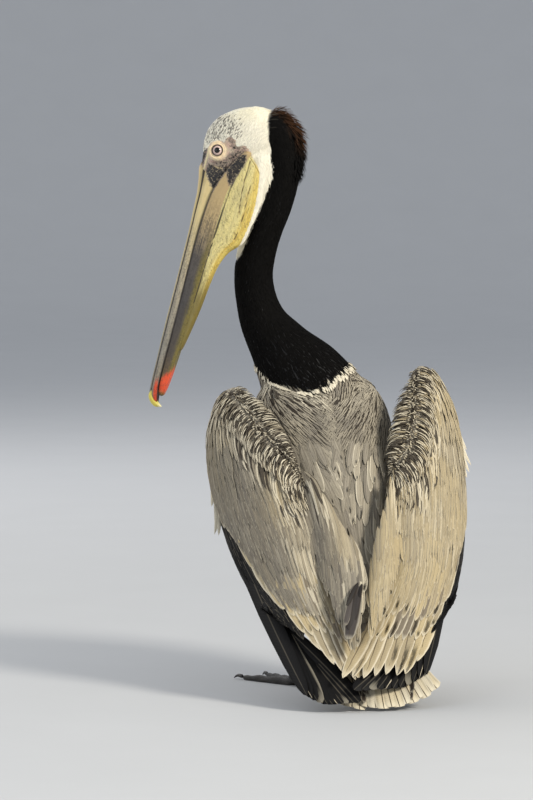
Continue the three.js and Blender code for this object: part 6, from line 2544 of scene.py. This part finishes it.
@dataclass
class Tail:
    """Short fan of tail feathers and the coverts over and under their roots.

    Attributes:
        rng: Source of unevenness.
        root: Middle of the feathers' roots.
        dip: Degrees that the tail points down.
        length: Length of the longest feather.
        spread: Degrees from the middle to the outermost feather.
        roll: Degrees that the tail is turned about its length.
        count: Number of feathers.
        rump: Stations of the body that the coverts grow on.
    """

    rng: np.random.Generator
    root: tuple[float, float, float] = (0.0, 112.0, 112.0)
    dip: float = 50.0
    length: float = 142.0
    spread: float = 29.0
    roll: float = 7.0
    count: int = 16
    rump: tuple = (
        (0, 102, 112, 26, 11, 12), (0, 120, 98, 40, 10, 14), (0, 144, 74, 40, 6, 11),
        (0, 164, 53, 32, 3, 7),
    )

    def _down(self) -> Array:
        """Direction that the tail points in."""
        dip = math.radians(self.dip)
        return np.array([0.0, math.cos(dip), -math.sin(dip)])

    def fan(self) -> Growth:
        """The tail feathers, each lying under its inner neighbour."""
        down = self._down()
        normal = np.array([0.0, -down[2], down[1]])
        offset = np.linspace(-1, 1, self.count)
        lie = turned(np.broadcast_to(down, (self.count, 3)), normal, offset * self.spread)
        layer = -1.5 * np.abs(np.arange(self.count) - (self.count - 1) / 2)[:, None]
        length = (self.length * (1 - 0.1 * offset**2) * self.rng.uniform(0.96, 1.0, self.count))[:, None]
        start = np.array(self.root) + normal * layer * 0.4 + table(-offset * 7, 0.0, 0.0)
        tip = turned(start + lie * length + normal * layer * 0.6 - self.root, down, self.roll) + self.root
        face = turned(np.broadcast_to(normal, (self.count, 3)), down, self.roll * 0.8 + offset * 10)
        middle = (start + tip) / 2 - face * 1.5
        chance = self.rng.uniform(0, 1, self.count)
        tone = mixed(mixed(SILVER, SILVER_WARM, chance), PALE_TIP, np.full(self.count, 0.35))
        mark = table(0.35, 0.5, 1.0, chance)
        patch = table(0.5 + 0.45 * offset, 0.5)
        bed = Bed(start, middle, tip, face, face, 20.5, 1.0, tone, mark, patch, 3.0)
        return grow(SQUARE, bed, self.rng)

    def coverts(self) -> Growth:
        """Feathers over and under the roots of the fan."""
        loft = Loft(np.array(self.rump, float), facing(BODY_BACK), 0.08)
        beds = []
        count = 15
        for back, colour, rows in ((0.0, SILVER_GREY, 3), (180.0, BELLY_DARK, 9)):
            for row in range(rows):
                degrees = np.linspace(-76, 76, count) + self.rng.uniform(-3, 3, count)
                degrees = back + (degrees + 4 * (row % 2))
                share = np.clip(0.02 + row * 0.105 + self.rng.uniform(-0.02, 0.02, count), 0, 0.98)
                root, rise, along = loft.on(share, degrees, -1.0)
                length = (30 + 3.5 * row) * self.rng.uniform(0.85, 1.15, count)[:, None]
                lie = unit(along + self._down() * 0.8)
                tip = root + lie * length + rise * 1.6
                middle = root + lie * length * 0.5 + rise * 3.2
                chance = self.rng.uniform(0, 1, count)
                tone = colour * (0.75 + 0.5 * chance[:, None])
                mark = table(0.35, 0.4, 0.4, chance)
                patch = table((degrees / 360 + 0.5) % 1.0 * 0.99, share)
                beds.append(Bed(root, middle, tip, rise, rise, 11.5, 0.8, tone, mark, patch, 5.0))
        return grow(SCALE, Bed.joined(beds), self.rng)

    def tuft(self) -> Growth:
        """Ruffled dark feather that lies loose over the inner fans."""
        rows = np.array(TUFT_ROWS, float)
        root, tip, lifted, arch, width, turn = np.split(rows[:, :10], (3, 6, 7, 8, 9), axis=1)
        root, tip = root + BACK_NORMAL * 5 * 0.7, tip + BACK_NORMAL * 5 * lifted
        middle = (root + tip) / 2 + BACK_NORMAL * arch
        tone = np.array(shade(70, 65, 62)) * rows[:, 10:11]
        patch = table(np.linspace(0.2, 0.8, len(rows)), 0.5)
        face = unit(BACK_NORMAL + np.array([0.25, 0, 0]))
        bed = Bed(root, middle, tip, face, face, width[:, 0], 0.9, tone, rows[:, 11:], patch, turn[:, 0])
        return grow(BLADE, bed, self.rng)

    def build(self, shop: Workshop, finishes: dict[str, Material]) -> None:
        """Makes the tail's pieces."""
        shop.from_growth("tail_fan", self.fan(), finishes["vane"], "silver_feather", ["tail"])
        shop.from_growth("tail_coverts", self.coverts(), finishes["plumage"], "silver_feather", ["tail"])
        shop.from_growth("loose_tuft", self.tuft(), finishes["vane"], "silver_feather")


# ---- legs and feet ----
@dataclass(frozen=True)
class LegFinish:
    """Dark leathery skin with small scales."""

    name: str = "leg_skin"

    def material(self) -> Material:
        """Paints the material."""
        p = Paint(self.name)
        place = p.place()
        cells = p.cells(place, 420.0)
        blotch = p.noise(place, 60.0, 4.0, 0.6)
        fine = p.noise(place, 500.0, 3.0, 0.6)
        stops = ((0.3, shade(38, 37, 36)), (0.55, shade(56, 53, 50)), (0.8, shade(78, 73, 68)))
        colour = p.ramp(blotch, stops)
        colour = p.mix(p.step(cells, 0.08, 0.02) * 0.6, colour, shade(24, 23, 22))
        bump = p.bump(p.step(cells, 0.0, 0.12) + fine * 0.3, 0.0006)
        return p.surface(
            {"Base Color": colour, "Roughness": 0.42 + fine * 0.25, "Specular IOR Level": 0.4, "Normal": bump}
        )


@dataclass(frozen=True)
class ClawFinish:
    """Worn black horn."""

    name: str = "claw_horn"

    def material(self) -> Material:
        """Paints the material."""
        p = Paint(self.name)
        grain = p.noise(p.place(), 300.0, 4.0, 0.6)
        colour = p.mix(p.step(grain, 0.45, 0.7), shade(26, 23, 20), shade(58, 50, 42))
        bump = p.bump(grain, 0.0002)
        return p.surface(
            {"Base Color": colour, "Roughness": 0.28 + grain * 0.2, "Specular IOR Level": 0.5, "Normal": bump}
        )


@dataclass
class Leg:
    """Bare shank, webbed foot and claws of one leg.

    Attributes:
        side: Which leg.
        turn: Degrees that the foot is turned outwards.
        toes: Degrees from the foot's heading and length of each toe.
        claw: Length of a claw.
        web: Thickness of the web before it is fused with the toes.
    """

    side: Side
    turn: float = 9.0
    toes: tuple = ((-30.0, 72.0), (0.0, 96.0), (26.0, 94.0), (-72.0, 35.0))
    claw: float = 13.0
    web: float = 2.6

    def heading(self, degrees: float) -> Array:
        """Direction of a toe on the floor."""
        angle = math.radians(self.turn + degrees)
        return np.array([self.side.value * math.sin(angle), -math.cos(angle), 0.0])

    def centre(self) -> Array:
        """Middle of the foot on the floor."""
        return np.array([self.side.value * LEG_ANKLE[0], LEG_ANKLE[1], 0.0])

    def shank(self) -> bmesh.types.BMesh:
        """Flattened shank with scutes down its front."""
        flip = np.array([self.side.value, 1, 1])
        heel, ankle = np.array(LEG_HEEL) * flip, np.array(LEG_ANKLE) * flip
        rows = [
            [*(heel + [0, 0, 8]), 6, 8, 7],
            [*heel, 7, 10, 8],
            [*(heel * 0.7 + ankle * 0.3), 5, 7, 6.5],
            [*(heel * 0.25 + ankle * 0.75), 5, 7, 6.5],
            [*ankle, 8, 9, 9],
            [*(ankle - [0, 0, 7.5]), 8, 9, 9],
        ]
        bm = bmesh.new()
        verts = Loft(np.array(rows), facing((0, 1, 0)), 0.1).shell(bm, 40, 110)
        points = places_of(verts)
        front = step(-(points[:, 1] - np.interp(points[:, 2], (11, 74), (-66, -58))), 0, 5)
        scute = np.abs(np.sin(points[:, 2] / 4.2 * math.pi)) ** 0.5
        points[:, 1] -= front * (scute - 0.6) * 0.8
        points += 0.25 * cloud(points, 3.0, 31.0)[:, None] * np.array([self.side.value, 0, 0])
        place(verts, points)
        return bm

    def foot(self) -> bmesh.types.BMesh:
        """Four toes joined by their webs, as one skin."""
        bm = bmesh.new()
        centre = self.centre()
        for degrees, length in self.toes:
            heading = self.heading(degrees)
            rows = []
            for share in (0.0, 0.2, 0.35, 0.5, 0.65, 0.8, 0.97):
                knuckle = 1 + 0.1 * math.cos(share * TURN * 3.1)
                radius = (6.5 + (3.9 - 6.5) * share) * knuckle
                at = centre + heading * length * share
                rows.append([at[0], at[1], radius * 0.72, radius, radius, radius])
            Loft(np.array(rows), facing(UP), 0.1).shell(bm, 20, 40)
        tips = [centre + self.heading(d) * length * 0.93 for d, length in (self.toes[3], *self.toes[:3])]
        for a, b in zip(tips, tips[1:]):
            grid = bmesh.ops.create_grid(bm, x_segments=24, y_segments=24, size=1.0)["verts"]
            u, v, _ = (places_of(grid).T[..., None] + 1) / 2
            control = ((a + b) / 2) * 0.76 + centre * 0.24
            edge = (1 - v) ** 2 * a + 2 * v * (1 - v) * control + v**2 * b
            sheet = centre + (edge - centre) * np.maximum(u, 0.02)
            sheet[:, 2] = 1.3 + 0.4 * np.sin(v[:, 0] * math.pi * 5) * u[:, 0]
            place(grid, sheet)
            faces = list({f for vert in grid for f in vert.link_faces})
            bmesh.ops.solidify(bm, geom=faces, thickness=self.web * 0.5)
        bmesh.ops.recalc_face_normals(bm, faces=bm.faces)
        fused = fuse(bm, 1.15)
        smooth(fused, 3, 0.4)
        points = places_of(fused.verts)
        points[:, 2] = np.maximum(points[:, 2] + 0.18 * cloud(points, 3.5, 32.0), 0.05)
        place(fused.verts, points)
        return fused

    def claws(self) -> bmesh.types.BMesh:
        """Curved claws at the toes' ends."""
        bm = bmesh.new()
        for degrees, length in self.toes:
            heading, centre = self.heading(degrees), self.centre()
            rows = []
            curve = ((-4.0, 3.8), (self.claw * 0.25, 5.0), (self.claw * 0.6, 4.2), (self.claw, 1.0))
            for out, height in curve:
                radius = 2.8 - 2.2 * max(0.0, out) / self.claw
                at = centre + heading * (length + out)
                rows.append([at[0], at[1], height, radius, radius * 1.1, radius])
            Loft(np.array(rows), facing(UP), 0.2).shell(bm, 20, 26)
        return bm

    def build(self, shop: Workshop, skin: Material, horn: Material) -> None:
        """Makes the leg's pieces."""
        word = self.side.word
        shop.from_bmesh(f"leg_{word}", self.shank(), skin, "leg_skin", [f"shank_{word}"])
        shop.from_bmesh(f"webbed_foot_{word}", self.foot(), skin, "leg_skin", [f"foot_{word}"])
        nodes = [f"claw_{word}_{i}" for i in range(1, 5)]
        shop.from_bmesh(f"claws_{word}", self.claws(), horn, "claw_horn", nodes)


# ---- floor, light and camera ----
@dataclass(frozen=True)
class Studio:
    """Pale floor, soft lights and the camera.

    Attributes:
        azimuth: Degrees that the camera stands round the bird, from its front.
        elevation: Degrees that it stands over the bird's middle.
        distance: Metres from the point that it looks at.
        target: That point, in design millimetres along the picture's right and up.
    """

    azimuth: float = 166.0
    elevation: float = 4.0
    distance: float = 5.8
    target: tuple[float, float] = (-104.7, 379.6)

    def build(self) -> None:
        """Makes floor, lights and camera."""
        self._floor()
        self._lights()
        self._camera()

    def _floor(self) -> None:
        """Wide floor that curves up to a backdrop out of every view."""
        p = Paint("studio_floor")
        spot = p.place()
        x, y, _ = p.split(spot)
        far = p.math("SQRT", x * x + y * y)
        # painted shade: the floor is darker round the bird and paler far off
        colour = p.mix(p.step(far, 0.8, 4.0), shade(188, 189, 190), shade(206, 207, 209))
        colour = p.tint(colour, 0.97 + p.noise(spot, 6.0, 3.0) * 0.05)
        finish = p.surface({"Base Color": colour, "Roughness": 0.75, "Specular IOR Level": 0.2})
        bm = bmesh.new()
        inner, bend = 8.5, 4.0
        level = [(inner * share, 0.0) for share in (0.0, 0.25, 0.5, 0.75, 1.0)]
        bends = np.radians(np.linspace(6, 90, 15))
        rising = [(inner + bend * math.sin(angle), bend * (1 - math.cos(angle))) for angle in bends]
        profile = [bm.verts.new((out, 0.0, high)) for out, high in level + rising]
        edges = [bm.edges.new(pair) for pair in zip(profile, profile[1:])]
        turn = {"cent": (0, 0, 0), "axis": (0, 0, 1), "angle": TURN, "steps": 96, "use_merge": True}
        bmesh.ops.spin(bm, geom=profile + edges, **turn)
        bmesh.ops.recalc_face_normals(bm, faces=bm.faces)
        if bm.faces[0].normal.z < 0:
            bmesh.ops.reverse_faces(bm, faces=bm.faces)
        mesh = bpy.data.meshes.new("studio_floor")
        bm.to_mesh(mesh)
        bm.free()
        mesh.shade_smooth()
        mesh.materials.append(finish)
        floor = bpy.data.objects.new("studio_floor", mesh)
        bpy.context.scene.collection.objects.link(floor)

    def _lights(self) -> None:
        """Soft key, fill and back lights, and a pale sky."""
        world = bpy.data.worlds.new("studio")
        world.use_nodes = True
        background = world.node_tree.nodes["Background"]
        background.inputs["Color"].default_value = (0.84, 0.89, 0.96, 1.0)
        background.inputs["Strength"].default_value = 0.55
        bpy.context.scene.world = world
        bpy.context.scene.view_settings.view_transform = "Standard"
        middle = Vector((0.0, 0.0, 0.4))
        lights = (
            ("key", (-2.3, 3.0, 2.5), 190.0, 1.0, (1.0, 0.95, 0.85)),
            ("fill", (3.0, 2.0, 1.6), 30.0, 2.4, (0.86, 0.92, 1.0)),
            ("front", (0.8, -3.0, 3.2), 62.0, 3.0, (1.0, 0.98, 0.95)),
            ("side", (3.4, -0.8, 1.8), 34.0, 2.2, (1.0, 0.97, 0.93)),
        )
        for name, spot, power, size, colour in lights:
            data = bpy.data.lights.new(f"studio_{name}", "AREA")
            data.energy, data.size, data.color = power, size, colour
            lamp = bpy.data.objects.new(f"studio_{name}", data)
            lamp.location = spot
            lamp.rotation_euler = (middle - Vector(spot)).to_track_quat("-Z", "Y").to_euler()
            bpy.context.scene.collection.objects.link(lamp)

    def _camera(self) -> None:
        """Long lens from behind the bird, a little to its left."""
        a, e = math.radians(self.azimuth), math.radians(self.elevation)
        forward = np.array([-math.sin(a) * math.cos(e), math.cos(a) * math.cos(e), -math.sin(e)])
        right = np.array([math.cos(a), math.sin(a), 0.0])
        up = np.cross(right, forward)
        look = row_frame(right * self.target[0] + up * self.target[1])
        data = bpy.data.cameras.new("studio_camera")
        data.lens, data.sensor_width, data.clip_end = 200.0, 36.0, 60.0
        camera = bpy.data.objects.new("studio_camera", data)
        camera.location = Vector(look - forward * self.distance)
        camera.rotation_euler = Vector(forward).to_track_quat("-Z", "Y").to_euler()
        bpy.context.scene.collection.objects.link(camera)
        bpy.context.scene.camera = camera


FLESH_NODES = ("head", "neck_lower", "neck_middle", "neck_upper", "torso", "thigh_left", "thigh_right")


def plumage_finishes() -> dict[str, Material]:
    """Materials of the feathers, by kind."""
    grey, horn = shade(70, 58, 44), shade(190, 178, 154)
    finishes = {
        "fine": PlumageFinish("fine_plumage", barbs=5.0, relief=0.0001),
        "velvet": PlumageFinish("velvet_plumage", barbs=5.0, roughness=0.8, gloss=0.05, relief=0.0001),
        "plumage": PlumageFinish("streaked_plumage", barbs=14.0),
        "vane": PlumageFinish("vane_plumage", shaft=grey, barbs=46.0, roughness=0.55),
        "quill": PlumageFinish("quill_plumage", shaft=horn, barbs=60.0, roughness=0.58, gloss=0.14),
    }
    return {kind: finish.material() for kind, finish in finishes.items()}


def dress_body(
    shop: Workshop, form: Form, marks: Markings, finishes: dict[str, Material], rng: np.random.Generator
) -> Surface:
    """Makes the skin and the feathers on it.

    Args:
        shop: Where pieces are made.
        form: The bird's body.
        marks: Its colours.
        finishes: Materials of the feathers.
        rng: Source of unevenness.

    Returns:
        The skin as a surface.
    """
    bm = Skin(form).build()
    surface = Surface(bm)
    points = places_of(bm.verts)
    tone, _ = marks.read(points)
    layer = bm.verts.layers.float_color.new(TONE)
    for vert, colour in zip(bm.verts, tone):
        vert[layer] = (*colour, 1.0)
    near = to_head(points)[:, 0] < 60
    store(bm, BARE, marks.bareness(points) * near)
    store(bm, DARKNESS, marks.mottle(points) * near)
    store(bm, FOLD, near_line(to_head(points)[:, :2], Skin.cheek_fold) * near)
    shop.from_bmesh("skin", bm, SkinFinish().material(), "white_feather", FLESH_NODES)
    coat = Coat(form, marks, surface, rng)
    for made, finish, slot in (
        (coat.head, "fine", "white_feather"),
        (coat.throat, "fine", "white_feather"),
        (coat.neck, "velvet", "dark_feather"),
        (coat.nape, "velvet", "dark_feather"),
        (coat.collar, "plumage", "silver_feather"),
        (coat.ring, "fine", "silver_feather"),
        (coat.mantle, "plumage", "silver_feather"),
        (coat.breast, "plumage", "dark_feather"),
        (coat.rump, "plumage", "silver_feather"),
        (coat.scapulars, "plumage", "silver_feather"),
    ):
        shop.from_growth(f"coat_{made.__name__}", made(), finishes[finish], slot)
    for side in Side:
        shop.from_growth(f"coat_thigh_{side.word}", coat.thigh(side), finishes["fine"], "dark_feather")
    return surface


def main() -> None:
    """Builds the bird and its studio."""
    logging.basicConfig(level=logging.INFO, format="%(message)s")
    rng = np.random.default_rng(SEED)
    shop = Workshop()
    form = Form()
    marks = Markings(form)
    finishes = plumage_finishes()
    surface = dress_body(shop, form, marks, finishes, rng)
    for side in Side:
        Wing(side, form, surface, rng).build(shop, finishes)
    Tail(rng).build(shop, finishes)
    skin, horn = LegFinish().material(), ClawFinish().material()
    for side in Side:
        Leg(side).build(shop, skin, horn)
    Bill(marks).build(shop)
    Eyes().build(shop)
    Studio().build()


if __name__ == "__main__":
    main()
